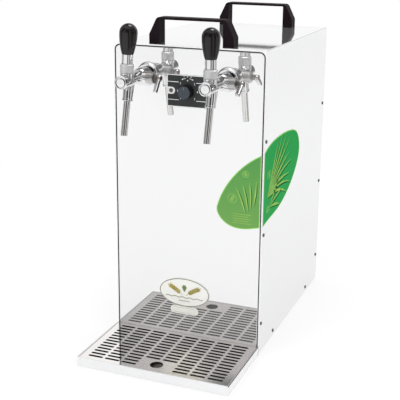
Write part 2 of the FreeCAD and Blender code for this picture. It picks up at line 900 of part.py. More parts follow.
def make_tap_cap():
    rear = -head_y - head_length
    cap = turned_y([
        (rear + cap_plug, 0), (rear + cap_plug, plunger_radius - 0.3), (rear, plunger_radius - 0.3),
        (rear, cap_radius - 0.8), (rear - 0.8, cap_radius), (-cap_front + 1.5, cap_radius),
        (-cap_front, cap_radius - 1.5), (-cap_front, cap_groove + cap_groove_width),
        (-cap_front + cap_groove_depth, cap_groove + cap_groove_width),
        (-cap_front + cap_groove_depth, cap_groove),
        (-cap_front, cap_groove),
        (crown(-cap_front, cap_groove, -cap_boss_rise), (-cap_front - cap_boss_rise, 0)),
    ])
    return cap


def on_ball(radius, angle):
    """Point (radius, z) on a sphere about the lever's pivot, this angle from straight up."""
    turn = math.radians(angle)
    return radius * math.sin(turn), ball_z + radius * math.cos(turn)


def make_tap_collar():
    """Nut over the lever's ball, with a round top that the ferrule slides over."""
    pocket = ball_radius + ball_clearance
    lip_angle = 56.0
    lip = on_ball(pocket, lip_angle)
    edge_angle = math.degrees(math.asin((collar_radius - 0.4) / dome_radius))
    mouth = on_ball(dome_radius, dome_mouth)
    edge = on_ball(dome_radius, edge_angle)
    return moved(turned_z([
        (pocket, head_top), (collar_radius - 1, head_top), (collar_radius, head_top + 1),
        (collar_radius, edge[1] - 0.4), edge,
        (on_ball(dome_radius, (edge_angle + dome_mouth) / 2), mouth), (lip[0] + 0.3, lip[1] + 1), lip,
        (on_ball(pocket, (90 + lip_angle) / 2), (pocket, ball_z)),
    ]), 0, -head_y)


def make_tap_lever():
    """Ball lever: its tip works the plunger and its ferrule carries the knob."""
    neck_low = lever_stem * 0.8
    tip = turned_z([
        (0, -lever_tip), ((lever_tip, 0), (neck_low, math.sqrt(lever_tip ** 2 - neck_low ** 2))),
        (lever_stem, ball_z - ball_radius * 0.7), (lever_stem, ball_z), (0, ball_z),
    ])
    ball = Part.makeSphere(ball_radius, V(0, 0, ball_z))
    cup = dome_radius + ferrule_gap
    rim_angle = math.degrees(math.asin((ferrule_radius - 0.3) / cup))
    neck_angle = math.degrees(math.asin(lever_neck / cup))
    rim = on_ball(cup, rim_angle)
    upper = turned_z([
        (0, ball_z), (lever_neck, ball_z), on_ball(cup, neck_angle),
        (on_ball(cup, (rim_angle + neck_angle) / 2), rim), (ferrule_radius, rim[1] + 0.3),
        (ferrule_radius, ferrule_top), (knob_stud, ferrule_top), (knob_stud, ferrule_top + knob_stud_length),
        (0, ferrule_top + knob_stud_length),
    ])
    return moved(tip.fuse([ball, upper]).removeSplitter(), 0, -head_y)


def make_tap_knob():
    foot = ferrule_top
    waist = (foot + knob_belly_z) / 2
    flare = knob_belly - (knob_belly - knob_foot) / 4
    knob = turned_z([
        (0, foot), (knob_foot - 1, foot), ((knob_foot - 0.3, foot + 0.3), (knob_foot, foot + 1)),
        ((flare, waist), (knob_belly, knob_belly_z)),
        (crown(knob_belly_z, knob_belly, knob_belly)[::-1], (0, knob_belly_z + knob_belly)),
    ])
    stud = rod(knob_stud, V(0, 0, foot - 1), V(0, 0, foot + knob_stud_length))
    return moved(knob.cut(stud), 0, -head_y)


def make_tap_plunger():
    front = -head_y - plunger_half
    rear = -head_y + plunger_half
    piston = rod(plunger_radius, V(0, front, 0), V(0, rear, 0))
    flat = box(-plunger_radius, plunger_radius, front - 1, rear + 1,
               -plunger_radius - 1, -plunger_radius * 0.6)
    slot = lever_tip + tip_clearance
    lean = (ball_z - plunger_radius) * math.tan(math.radians(lever_pull)) - ball_z * math.radians(lever_pull)
    reach = lever_stem / math.cos(math.radians(lever_pull)) + tip_clearance - lean
    wedge = outline([
        (-slot, -slot), (slot, -slot), (slot, plunger_radius + 1),
        (-reach, plunger_radius + 1), (-slot, lever_tip),
    ], lambda y, z: V(-slot - lever_side_play, -head_y + y, z)).extrude(V(2 * (slot + lever_side_play), 0, 0))
    stem = rod(plunger_stem, V(0, rear, 0), V(0, -seat_rear + seal_gap() + seal_thick, 0))
    nut = rod(seal_nut_radius, V(0, -seat_rear + seal_gap() + seal_thick, 0),
              V(0, -seat_rear + seal_gap() + seal_thick + seal_nut_thick, 0))
    return piston.cut([flat, wedge]).fuse([stem, nut]).removeSplitter()


def seal_gap():
    """Gap between the closed seal and its seat."""
    return running_clearance


def make_tap_seal():
    start = -seat_rear + seal_gap()
    ring = rod(seal_radius, V(0, start, 0), V(0, start + seal_thick, 0))
    return ring.cut(rod(plunger_stem, V(0, start - 1, 0), V(0, start + seal_thick + 1, 0)))


def make_tap_spout():
    spigot = rod(spout_spigot, spout_point(spout_socket - spout_insert), spout_point(spout_socket))
    tube = rod(spout_radius, spout_point(spout_socket - 1), spout_point(spout_end)).fuse(spigot)
    tube = tube.removeSplitter()
    return tube.cut(rod(spout_radius - spout_wall, spout_point(0), spout_point(spout_end + 1)))


def eccentric_point(rest):
    """Rest place (y, z) of the eccentric pin when the lever rests at this angle from straight down."""
    turn = math.radians(regulator_middle - rest)
    return -regulator_y + eccentric_offset * math.sin(turn), -eccentric_offset * math.cos(turn)


def make_tap_regulator(rest):
    """Flow lever with its spindle and eccentric pin; it turns about X."""
    start = regulator_hub_start
    hub = rod(regulator_hub, V(start, 0, 0), V(start + regulator_hub_width, 0, 0))
    low = -regulator_arm
    tip = regulator_arm_tip
    root = regulator_arm_root
    blade_end = start + regulator_hub_width - regulator_arm_setback
    blade = outline([
        (root, 0), (-root, 0), (-tip, low), ((0, low - tip), (tip, low)),
    ], lambda y, z: V(blade_end, y, z)).extrude(V(-regulator_arm_width, 0, 0))
    arm = hub.fuse(blade).removeSplitter()
    arm.rotate(V(0, 0, 0), X_AXIS, -rest)
    spindle = rod(regulator_spindle, V(eccentric_depth, 0, 0), V(start + 1, 0, 0))
    pin_y, pin_z = eccentric_point(rest)
    pin_y += regulator_y
    disc = rod(regulator_spindle, V(eccentric_depth, 0, 0), V(eccentric_depth + 2, 0, 0))
    web = rod(eccentric_pin, V(eccentric_depth + 1, 0, 0), V(eccentric_depth + 1, pin_y, pin_z))
    pin = rod(eccentric_pin, V(-eccentric_depth + 2, pin_y, pin_z), V(eccentric_depth + 2, pin_y, pin_z))
    whole = arm.fuse([spindle, disc, web, pin]).removeSplitter()
    return moved(whole, 0, -regulator_y, 0)


def make_tap_cone(rest):
    """Compensator cone with a notched guide rim; the eccentric pin moves it along the barrel."""
    rim_end = -comp_cone_rear - comp_cone_rim
    guide = chamber_radius - guide_clearance
    cone = turned_y([
        (-comp_cone_rear, 0), (-comp_cone_rear, guide), (rim_end, guide), (rim_end, comp_cone_large),
        (-comp_cone_front, comp_cone_small), (-comp_cone_front, 0),
    ])
    wide = eccentric_pin + pin_clearance
    pin_z = -eccentric_offset
    cuts = [box(-eccentric_depth, eccentric_depth, -regulator_y - wide, -regulator_y + wide,
                pin_z - wide, pin_z + wide + eccentric_offset * 0.2)]
    travel = eccentric_offset * 0.6
    reach = regulator_spindle + travel + guide_clearance
    low = pin_z - wide
    cuts.append(box(eccentric_depth - 1, chamber_radius, -regulator_y - reach, -regulator_y + reach,
                    low, reach))
    for i in range(4):
        turn = math.radians(45 + 90 * i)
        x = (chamber_radius + 1) * math.sin(turn)
        z = (chamber_radius + 1) * math.cos(turn)
        cuts.append(rod(3, V(x, -comp_cone_rear + 1, z), V(x, rim_end - 1, z)))
    shift = eccentric_point(rest)[0] + regulator_y
    return moved(cone.cut(cuts), 0, shift, 0)


# Drip tray
def make_drip_tray():
    half = cover_half
    front = -tray_depth
    rear = -tray_gap
    body = box(-half, half, front, rear, 0, tray_height)
    corners = []
    for edge in body.Edges:
        if edge.BoundBox.ZLength > tray_height / 2:
            corners.append(edge)
    body = body.makeFillet(tray_corner, corners)
    well = box(-half + tray_wall, half - tray_wall, front + tray_wall, rear - tray_wall,
               tray_floor, tray_height + 1)
    return body.cut(well)


def make_drip_grille():
    half = cover_half - tray_wall - grille_gap
    front = -tray_depth + tray_wall + grille_gap
    rear = -tray_gap - tray_wall - grille_gap
    top = tray_height - grille_setdown
    body = box(-half, half, front, rear, tray_floor, top)
    hollow = box(-half + grille_sheet, half - grille_sheet, front + grille_sheet, rear - grille_sheet,
                 tray_floor - 1, top - grille_sheet)
    slot = slot_prism(slot_length, slot_width, slot_end_chords, 6 * grille_sheet)
    cuts = [hollow]
    first_y = -tray_depth + slot_front_margin
    for row in range(slot_rows):
        for column in range(slot_columns):
            middle_pair = column in (slot_columns // 2 - 1, slot_columns // 2)
            if middle_pair and row < finger_hole_rows:
                continue
            x = (column - (slot_columns - 1) / 2) * slot_pitch_x
            cuts.append(moved(slot, x, first_y + row * slot_pitch_y, top))
    hole_y = first_y + (finger_hole_rows - 1) / 2 * slot_pitch_y
    cuts.append(rod(finger_hole, V(0, hole_y, top - 5), V(0, hole_y, top + 1)))
    return body.cut(cuts)


# Cooling circuit
def suction_x():
    """Distance from the middle of the pipes that pass through the shelf."""
    return block_half_width - pipe_inset_x


def pipe_y():
    """Depth at which the pipes pass through the shelf."""
    return block_rear - pipe_inset_y


def beer_path():
    """Run of the left beer line, from the rear fitting through the block to the tap's shank."""
    rise = 2 * line_bend
    low = line_inlet_z
    return [
        V(0, cabinet_depth - rear_sheet - fitting_inside + 6, low),
        V(0, coil_front_y, low),
        V(0, coil_front_y, low + rise),
        V(0, coil_rear_y, low + rise),
        V(0, coil_rear_y, low + 2 * rise),
        V(0, line_front_y, low + 2 * rise),
        V(0, line_front_y, tap_z),
        V(0, shank_inside - 7, tap_z),
    ]


def make_beer_line():
    bar = tube_run(beer_path(), line_radius, line_bend - 0.01)
    return bar


def make_cooling_block(lines):
    block = box(-block_half_width, block_half_width, block_front, block_rear, block_low, block_high)
    pockets = []
    for x in (-suction_x(), suction_x()):
        pockets.append(rod(pipe_radius, V(x, pipe_y(), block_low - 1),
                           V(x, pipe_y(), block_low + pipe_socket)))
    return block.cut(lines + pockets)


def make_foam_jacket(lines):
    """Foam poured round the block and its pipes, standing on the shelf."""
    wall = foam_wall
    foam = box(-block_half_width - wall, block_half_width + wall, block_front - wall, block_rear + wall,
               shelf_height, block_high + wall)
    block = box(-block_half_width, block_half_width, block_front, block_rear, block_low, block_high)
    pipes = []
    for x in (-suction_x(), suction_x()):
        pipes.append(rod(pipe_radius, V(x, pipe_y(), shelf_height - 1), V(x, pipe_y(), block_low + 1)))
    return foam.cut([block] + lines + pipes)


def compressor_low():
    """Height of the compressor's plate."""
    return foot_height + base_sheet + grommet_height + compressor_plate


def discharge_start():
    """Foot of the discharge pipe, inside the compressor's top."""
    return V(compressor_x + stub_offset_x, compressor_y + stub_offset_y,
             compressor_low() + compressor_height - stub_drop)


def suction_end():
    """Foot of the suction pipe, inside the compressor's top."""
    return V(-suction_x(), compressor_y + stub_offset_y, compressor_low() + compressor_height - stub_drop)


def make_compressor():
    mid = compressor_height * 0.55
    dome = compressor_height * 0.28
    r = compressor_radius
    seam = r + compressor_seam
    pot = turned_z([
        (0, 0), (r * 0.7, 0), (r, 22), (r, mid), (seam, mid), (seam, mid + 3), (r, mid + 3),
        (r, compressor_height - dome),
        (crown(compressor_height - dome, r, dome)[::-1], (0, compressor_height)),
    ])
    terminal_box = box(r - terminal_box_out, r + terminal_box_out, -terminal_box_half, terminal_box_half,
                       terminal_box_low, terminal_box_high)
    plate = box(-compressor_plate_half, compressor_plate_half, -compressor_plate_half, compressor_plate_half,
                -compressor_plate, 0)
    shell = pot.fuse([terminal_box, plate]).removeSplitter()
    shell = moved(shell, compressor_x, compressor_y, compressor_low())
    cuts = []
    for x, y in grommet_spots():
        cuts.append(rod(grommet_radius * 0.5, V(x, y, compressor_low() - compressor_plate - 1),
                        V(x, y, compressor_low() + 1)))
    for point in (discharge_start(), suction_end()):
        cuts.append(rod(pipe_radius, point, point + V(0, 0, compressor_height)))
    return shell.cut(cuts)


def make_grommets():
    low = foot_height + base_sheet
    grommet = turned_z([
        (0, low), (grommet_radius, low), (grommet_radius - 1.5, low + grommet_height / 2),
        (grommet_radius, low + grommet_height), (grommet_radius * 0.5, low + grommet_height),
        (grommet_radius * 0.5, low + grommet_height + compressor_plate + 2),
        (0, low + grommet_height + compressor_plate + 2),
    ])
    return Part.makeCompound([moved(grommet, x, y) for x, y in grommet_spots()])


def condenser_box():
    half = condenser_width / 2
    front = condenser_rear - condenser_depth
    return half, front, condenser_rear, condenser_low, condenser_low + condenser_height


def header_x():
    """Distance of the condenser's upright header tubes from the middle."""
    return condenser_width / 2 - header_radius


def make_condenser():
    half, front, rear, low, high = condenser_box()
    middle = (front + rear) / 2
    x = header_x()
    headers = both_sides(rod(header_radius, V(x, middle, foot_height + base_sheet), V(x, middle, high)))
    tubes = []
    pitch = (high - low) / condenser_tubes
    for i in range(condenser_tubes):
        z = low + (i + 0.5) * pitch
        tubes.append(box(-x, x, middle - flat_tube_depth / 2, middle + flat_tube_depth / 2,
                         z - flat_tube_thick / 2, z + flat_tube_thick / 2))
    fins = []
    for i in range(1, condenser_fins + 1):
        fin_x = -x + i * 2 * x / (condenser_fins + 1) - fin_thick / 2
        fins.append(box(fin_x, fin_x + fin_thick, front + fin_setback, rear - fin_setback, low, high))
    whole = headers[0].fuse([headers[1]] + tubes + fins)
    cuts = [
        rod(pipe_radius, V(-x, middle, high - header_socket), V(-x, middle, high + 1)),
        rod(pipe_radius, V(x, middle, liquid_z), V(x + header_radius + 1, middle, liquid_z)),
    ]
    return whole.cut(cuts)


def fan_centre():
    half, front, rear, low, high = condenser_box()
    return V(0, front, (low + high) / 2)


def make_fan_shroud():
    half, front, rear, low, high = condenser_box()
    centre = fan_centre()
    depth = shroud_depth
    sheet = shroud_sheet
    shell = box(-half, half, front - depth, front, low, high)
    hollow = box(-half + sheet, half - sheet, front - depth + sheet, front + 1, low + sheet, high - sheet)
    mouth = rod(fan_radius + fan_tip_gap,
                V(centre.x, front - depth - 1, centre.z), V(centre.x, front, centre.z))
    ring = rod(fan_radius + fan_tip_gap + sheet, V(centre.x, front - depth, centre.z),
               V(centre.x, front - depth + shroud_ring, centre.z)).cut(mouth)
    shell = shell.cut([hollow, mouth]).fuse(ring).removeSplitter()
    bars = []
    arm_y = front - depth - fan_arm
    for angle in (0, 90):
        arm = box(-fan_radius - fan_tip_gap - 8, fan_radius + fan_tip_gap + 8, arm_y, front - depth, -5, 5)
        arm.rotate(V(0, 0, 0), Y_AXIS, angle + 45)
        bars.append(moved(arm, centre.x, 0, centre.z))
    shell = shell.fuse(bars).removeSplitter()
    return shell.cut(rod(motor_shaft + 3,
                         V(centre.x, arm_y - 1, centre.z), V(centre.x, front - depth + 1, centre.z)))


def make_fan_motor():
    half, front, rear, low, high = condenser_box()
    centre = fan_centre()
    rear_face = front - shroud_depth - fan_arm
    body = turned_y([
        (rear_face, motor_shaft + running_clearance), (rear_face, motor_radius),
        (rear_face - motor_length + 4, motor_radius),
        (rear_face - motor_length, motor_radius - 6), (rear_face - motor_length, 0),
        (rear_face - fan_bearing, 0), (rear_face - fan_bearing, motor_shaft + running_clearance),
    ])
    return moved(body, centre.x, 0, centre.z)


def make_fan_rotor():
    half, front, rear, low, high = condenser_box()
    centre = fan_centre()
    start = front - shroud_depth + fan_setback
    hub = turned_y([
        (start, 0), (start, fan_hub - 2), (start + 2, fan_hub), (start + fan_blade_width, fan_hub),
        (start + fan_blade_width, 0),
    ])
    shaft_end = front - shroud_depth - fan_arm - fan_bearing + fan_end_gap
    shaft = rod(motor_shaft, V(0, shaft_end, 0), V(0, start + 1, 0))
    blades = []
    for i in range(fan_blades):
        half_blade = fan_hub * 1.3
        blade = box(fan_hub - 3, fan_radius, -fan_blade_thick / 2, fan_blade_thick / 2,
                    -half_blade, half_blade)
        blade.rotate(V(0, 0, 0), X_AXIS, fan_blade_pitch)
        blade = blade.common(rod(fan_radius, V(0, -fan_blade_width, 0), V(0, fan_blade_width, 0)))
        blade.rotate(V(0, 0, 0), Y_AXIS, i * 360.0 / fan_blades)
        blades.append(moved(blade, 0, start + fan_blade_width / 2))
    rotor = hub.fuse(blades + [shaft]).removeSplitter()
    return moved(rotor, centre.x, 0, centre.z)


def make_refrigerant_pipes():
    """Discharge pipe, liquid pipe with its brazed filter drier, and suction pipe."""
    half, front, rear, low, high = condenser_box()
    middle = (front + rear) / 2
    header = header_x()
    start = discharge_start()
    discharge = tube_run([
        start, V(start.x, start.y, discharge_z), V(-header, start.y, discharge_z),
        V(-header, middle, discharge_z), V(-header, middle, high - header_socket + pipe_end_gap),
    ], pipe_radius - 0.01, discharge_bend)
    drier = moved(turned_z([
        (0, 0), (pipe_radius, 0), (drier_radius, drier_taper), (drier_radius, drier_length - drier_taper),
        (pipe_radius, drier_length), (0, drier_length),
    ]), drier_x, drier_y, drier_low)
    liquid = tube_run([
        V(header + 1, middle, liquid_z), V(drier_x, middle, liquid_z), V(drier_x, drier_y, liquid_z),
        V(drier_x, drier_y, drier_low + 1),
    ], pipe_radius - 0.01, pipe_bend)
    block_x = suction_x()
    capillary = tube_run([
        V(drier_x, drier_y, drier_low + drier_length - 1), V(drier_x, drier_y, capillary_z),
        V(block_x, drier_y, capillary_z), V(block_x, pipe_y(), capillary_z),
        V(block_x, pipe_y(), block_low + pipe_socket - pipe_end_gap),
    ], pipe_radius - 0.01, pipe_bend)
    end = suction_end()
    suction = tube_run([
        V(-block_x, pipe_y(), block_low + pipe_socket - pipe_end_gap), V(-block_x, pipe_y(), suction_z),
        V(-block_x, end.y, suction_z), end,
    ], pipe_radius - 0.01, pipe_bend)
    return Part.makeCompound([discharge, drier.fuse([liquid, capillary]).removeSplitter(), suction])


# Rear fittings
def make_rear_fitting():
    """Push-in bulkhead fitting for a beer tube, its axis along Y."""
    rear = cabinet_depth
    body = turned_y([
        (rear - rear_sheet - fitting_inside, 0), (rear - rear_sheet - fitting_inside, fitting_radius - 2),
        (rear - rear_sheet, fitting_radius - 2), (rear - rear_sheet, fitting_radius),
        (rear, fitting_radius), (rear, fitting_nut), (rear + fitting_nut_thick, fitting_nut),
        (rear + fitting_nut_thick + 1, fitting_radius), (rear + fitting_out, fitting_radius),
        (rear + fitting_out, 0),
    ])
    collet_room = rod(collet_outer + running_clearance, V(0, rear + fitting_out - collet_length, 0),
                      V(0, rear + fitting_out + 1, 0))
    tube = rod(inlet_tube_radius, V(0, rear + fitting_out - collet_length - inlet_depth + 4, 0),
               V(0, rear + fitting_out + 1, 0))
    line = rod(line_radius, V(0, 0, 0), V(0, rear - rear_sheet - fitting_inside + 6, 0))
    through = rod(line_radius - 1.5, V(0, rear - rear_sheet - fitting_inside, 0), V(0, rear + fitting_out, 0))
    return body.cut([collet_room, tube, line, through])


def make_rear_nut():
    rear = cabinet_depth - rear_sheet
    nut = rod(fitting_nut, V(0, rear - 6, 0), V(0, rear, 0))
    return nut.cut(rod(fitting_radius - 2, V(0, rear - 7, 0), V(0, rear + 1, 0)))


def make_collet():
    end = cabinet_depth + fitting_out
    start = end - collet_length + collet_travel + 0.3
    return turned_y([
        (start, inlet_tube_radius + 0.35), (start, collet_outer), (end + collet_travel, collet_outer),
        (end + collet_travel, collet_flange), (end + collet_travel + collet_flange_thick, collet_flange),
        (end + collet_travel + collet_flange_thick, inlet_tube_radius + 0.35),
    ])


def make_mains_gland():
    rear = cabinet_depth
    gland = turned_y([
        (rear - rear_sheet - gland_inside, gland_bore), (rear - rear_sheet - gland_inside, gland_radius - 2),
        (rear, gland_radius - 2), (rear, gland_radius + 3), (rear + 4, gland_radius + 3),
        (rear + 4, gland_radius), (rear + gland_out - 3, gland_radius), (rear + gland_out, gland_radius - 3),
        (rear + gland_out, gland_bore),
    ])
    nut = rod(gland_radius + 2, V(0, rear - rear_sheet - 5, 0), V(0, rear - rear_sheet, 0))
    nut = nut.cut(rod(gland_radius - 2, V(0, rear - rear_sheet - 6, 0), V(0, rear, 0)))
    return moved(gland.fuse(nut).removeSplitter(), gland_x, 0, gland_z)


def export(name, shape):
    """Write one piece in the part's frame."""
    shape.translated(V(0, front_y, 0)).exportStep("parts/%s.step" % name)


def main():
    os.makedirs("parts", exist_ok=True)
    export("outer_cover", make_outer_cover())
    export("front_panel", make_front_panel())
    export("edge_gasket", make_edge_gasket())
    export("rear_panel", make_rear_panel())
    export("base_pan", make_base_pan())
    export("feet", make_feet())
    export("shelf", make_shelf())
    export("side_screws", make_side_screws())
    export("front_handle", make_handle(handle_front_setback))
    export("rear_handle", make_handle(handle_front_setback + handle_spacing))
    export("handle_screws", make_handle_screws())
    export("badge", make_badge())
    export("label_strip", make_label_strip())
    export("decal_front", make_decal_front())
    export("decal_side", make_decal_side())
    export("thermostat_plate", make_thermostat_plate())
    export("plate_screws", make_plate_screws())
    export("thermostat_body", make_thermostat_body())
    export("dial_spindle", make_dial_spindle())
    export("dial_knob", make_dial_knob())
    tap_pieces = {
        "body": make_tap_body(),
        "cap": make_tap_cap(),
        "collar": make_tap_collar(),
        "lever": make_tap_lever(),
        "knob": make_tap_knob(),
        "plunger": make_tap_plunger(),
        "seal": make_tap_seal(),
        "spout": make_tap_spout(),
    }
    sides = (
        ("left", -tap_x, left_lever_lean, left_regulator_rest),
        ("right", tap_x, 0.0, right_regulator_rest),
    )
    for side, x, lean, rest in sides:
        pieces = dict(tap_pieces)
        for piece in ("lever", "knob"):
            pieces[piece] = pieces[piece].rotated(V(0, -head_y, ball_z), Y_AXIS, lean)
        pieces["regulator"] = make_tap_regulator(rest)
        pieces["cone"] = make_tap_cone(rest)
        for piece, shape in pieces.items():
            export("%s_tap_%s" % (side, piece), moved(shape, x, 0, tap_z))
    for name, shape in (("tap_rosettes", make_tap_rosette()), ("tap_shanks", make_tap_shank()),
                        ("shank_nuts", make_shank_nut())):
        export(name, Part.makeCompound([moved(shape, x, 0, tap_z) for x in (-tap_x, tap_x)]))
    export("drip_tray", make_drip_tray())
    export("drip_grille", make_drip_grille())
    lines = [moved(make_beer_line(), x) for x in (-tap_x, tap_x)]
    export("beer_lines", Part.makeCompound(lines))
    export("cooling_block", make_cooling_block(lines))
    export("foam_jacket", make_foam_jacket(lines))
    export("compressor", make_compressor())
    export("compressor_grommets", make_grommets())
    export("condenser", make_condenser())
    export("fan_shroud", make_fan_shroud())
    export("fan_motor", make_fan_motor())
    export("fan_rotor", make_fan_rotor())
    export("refrigerant_pipes", make_refrigerant_pipes())
    fittings = [moved(make_rear_fitting(), x, 0, line_inlet_z) for x in (-tap_x, tap_x)]
    nuts = [moved(make_rear_nut(), x, 0, line_inlet_z) for x in (-tap_x, tap_x)]
    export("beer_inlet_fittings", Part.makeCompound(fittings))
    export("beer_inlet_nuts", Part.makeCompound(nuts))
    for side, x in (("left", -tap_x), ("right", tap_x)):
        export("%s_inlet_collet" % side, moved(make_collet(), x, 0, line_inlet_z))
    export("mains_gland", make_mains_gland())


main()
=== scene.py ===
"""Looks for the draft beer dispenser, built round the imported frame."""
import math

import bmesh
import bpy
from mathutils import Matrix, Vector


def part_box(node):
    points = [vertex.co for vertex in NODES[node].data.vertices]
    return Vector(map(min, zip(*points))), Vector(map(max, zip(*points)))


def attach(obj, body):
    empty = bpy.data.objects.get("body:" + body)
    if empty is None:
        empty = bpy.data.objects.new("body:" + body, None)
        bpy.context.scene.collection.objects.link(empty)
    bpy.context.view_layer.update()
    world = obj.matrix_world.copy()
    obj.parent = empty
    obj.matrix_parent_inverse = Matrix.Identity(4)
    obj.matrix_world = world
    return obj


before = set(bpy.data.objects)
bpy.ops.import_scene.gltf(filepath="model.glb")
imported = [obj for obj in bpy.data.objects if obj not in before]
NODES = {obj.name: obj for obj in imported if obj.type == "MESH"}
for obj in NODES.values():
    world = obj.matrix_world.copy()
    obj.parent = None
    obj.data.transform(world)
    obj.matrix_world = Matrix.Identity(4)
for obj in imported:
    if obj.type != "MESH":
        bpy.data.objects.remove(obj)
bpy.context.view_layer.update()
CAD_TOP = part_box("outer_cover")[1].z
CAD_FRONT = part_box("outer_cover")[0].y
CAD_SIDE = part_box("outer_cover")[1].x
scene = bpy.context.scene

MM = 0.001
PANEL_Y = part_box("front_panel")[0].y
PLATE_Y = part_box("thermostat_plate")[0].y
DIAL_Z = (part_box("thermostat_plate")[0].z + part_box("thermostat_plate")[1].z) / 2
TAP_Z = sum(corner.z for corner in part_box("left_tap_cap")) / 2
# Depths of the flow levers' hinges and of the knurled collars' axes
REGULATOR_Y = PANEL_Y - 0.0385
COLLAR_Y = PANEL_Y - 0.084
COLLAR_RADIUS = 0.0116
# The grille's slots: pitch along X and Y, half the length of a slot's straight middle, and first row
SLOT_PITCH_X = 0.0318
SLOT_PITCH_Y = 0.0109
SLOT_STRAIGHT = 0.011
SLOT_FRONT_ROW = PANEL_Y - 0.1445
# Thickness of a print, and how strongly the world lights matte surfaces
PRINT_LIFT = 0.00006
AMBIENT = 0.8


# Shader helpers
class Tree:
    """Short way to add nodes to a tree: every call adds one and returns its output."""

    def __init__(self, tree):
        self.tree = tree

    def link(self, out, socket):
        self.tree.links.new(out, socket)

    def math(self, operation, a, b=0.0, c=0.0):
        node = self.tree.nodes.new("ShaderNodeMath")
        node.operation = operation
        for socket, value in zip(node.inputs, (a, b, c)):
            if isinstance(value, (int, float)):
                socket.default_value = value
            else:
                self.link(value, socket)
        return node.outputs[0]

    def ramp(self, fac, *stops):
        """Colour ramp; a stop is (place, grey value or colour)."""
        node = self.tree.nodes.new("ShaderNodeValToRGB")
        elements = node.color_ramp.elements
        while len(elements) < len(stops):
            elements.new(0.5)
        for element, (place, colour) in zip(elements, stops):
            element.position = place
            if not isinstance(colour, (tuple, list)):
                colour = (colour, colour, colour)
            element.color = (*colour, 1)
        self.link(fac, node.inputs["Fac"])
        return node.outputs["Color"]

    def span(self, value, low, high, start=0.0, end=1.0):
        """Value between low and high turned into start to end."""
        node = self.tree.nodes.new("ShaderNodeMapRange")
        for key, number in (("From Min", low), ("From Max", high), ("To Min", start), ("To Max", end)):
            node.inputs[key].default_value = number
        self.link(value, node.inputs["Value"])
        return node.outputs["Result"]

    def mix(self, fac, a, b):
        node = self.tree.nodes.new("ShaderNodeMix")
        node.data_type = "RGBA"
        for socket, value in ((node.inputs["Factor"], fac), (node.inputs["A"], a), (node.inputs["B"], b)):
            if isinstance(value, (int, float)):
                socket.default_value = value
            elif isinstance(value, (tuple, list)):
                socket.default_value = (*value, 1)
            else:
                self.link(value, socket)
        return node.outputs["Result"]

    def blend(self, fac, first, second):
        """Mix of two shaders."""
        node = self.tree.nodes.new("ShaderNodeMixShader")
        for socket, value in zip(node.inputs, (fac, first, second)):
            self.link(value, socket)
        return node.outputs[0]

    def emit(self, kind, colour=(1, 1, 1), strength=1.0):
        """Emission or Background shader; the colour is a tuple or an output."""
        node = self.tree.nodes.new("ShaderNode" + kind)
        node.inputs["Strength"].default_value = strength
        if isinstance(colour, tuple):
            node.inputs["Color"].default_value = (*colour, 1)
        else:
            self.link(colour, node.inputs["Color"])
        return node.outputs[0]

    def turn(self, x, y):
        """Direction round the object as a share of a turn."""
        return self.math("MULTIPLY_ADD", self.math("ARCTAN2", x, self.math("MULTIPLY", y, -1.0)),
                         1 / (2 * math.pi), 0.5)


class Shader(Tree):
    """A material round one Principled shader, patterned in the object's own coordinates."""

    def __init__(self, name, base=(0.8, 0.8, 0.8), metallic=0.0, roughness=0.5, **sockets):
        self.mat = bpy.data.materials.new(name)
        self.mat.use_nodes = True
        super().__init__(self.mat.node_tree)
        self.bsdf = self.tree.nodes["Principled BSDF"]
        self.bsdf.inputs["Base Color"].default_value = (*base, 1)
        self.bsdf.inputs["Metallic"].default_value = metallic
        self.bsdf.inputs["Roughness"].default_value = roughness
        for key, value in sockets.items():
            self.bsdf.inputs[key.replace("_", " ")].default_value = value
        self.coord = self.tree.nodes.new("ShaderNodeTexCoord").outputs["Object"]

    def stretch(self, scale):
        """The coordinates scaled along X, Y and Z."""
        node = self.tree.nodes.new("ShaderNodeMapping")
        node.inputs["Scale"].default_value = scale
        self.link(self.coord, node.inputs["Vector"])
        return node.outputs["Vector"]

    def noise(self, scale, detail=3.0, rough=0.5, vector=None):
        node = self.tree.nodes.new("ShaderNodeTexNoise")
        node.inputs["Scale"].default_value = scale
        node.inputs["Detail"].default_value = detail
        node.inputs["Roughness"].default_value = rough
        self.link(vector or self.coord, node.inputs["Vector"])
        return node.outputs["Fac"]

    def split(self):
        node = self.tree.nodes.new("ShaderNodeSeparateXYZ")
        self.link(self.coord, node.inputs[0])
        return node.outputs

    def drive(self, key, out):
        """Links an output to one of the Principled shader's sockets."""
        self.link(out, self.bsdf.inputs[key])

    def colour(self, out):
        self.drive("Base Color", out)

    def rough(self, fac, low, high):
        """Roughness that follows a pattern between two values."""
        self.drive("Roughness", self.span(fac, 0.3, 0.7, low, high))

    def near(self, u, v, centre_u, centre_v):
        """Distance from an axis, from two coordinates."""
        a, b = self.math("SUBTRACT", u, centre_u), self.math("SUBTRACT", v, centre_v)
        return self.math("SQRT", self.math("ADD", self.math("MULTIPLY", a, a), self.math("MULTIPLY", b, b)))

    def both(self, a, b):
        return self.math("MULTIPLY", a, b)

    def above(self, value, limit):
        return self.math("GREATER_THAN", value, limit)

    def below(self, value, limit):
        return self.math("LESS_THAN", value, limit)

    def between(self, value, low, high):
        """1 where the value lies between low and high."""
        return self.both(self.above(value, low), self.below(value, high))

    def bump(self, height, strength, distance):
        node = self.tree.nodes.new("ShaderNodeBump")
        node.inputs["Strength"].default_value = strength
        node.inputs["Distance"].default_value = distance
        self.link(height, node.inputs["Height"])
        self.drive("Normal", node.outputs["Normal"])


def shade(base, change):
    """The colour made lighter (change > 0) or darker."""
    return tuple(max(0.0, min(1.0, c * (1 + change))) for c in base)


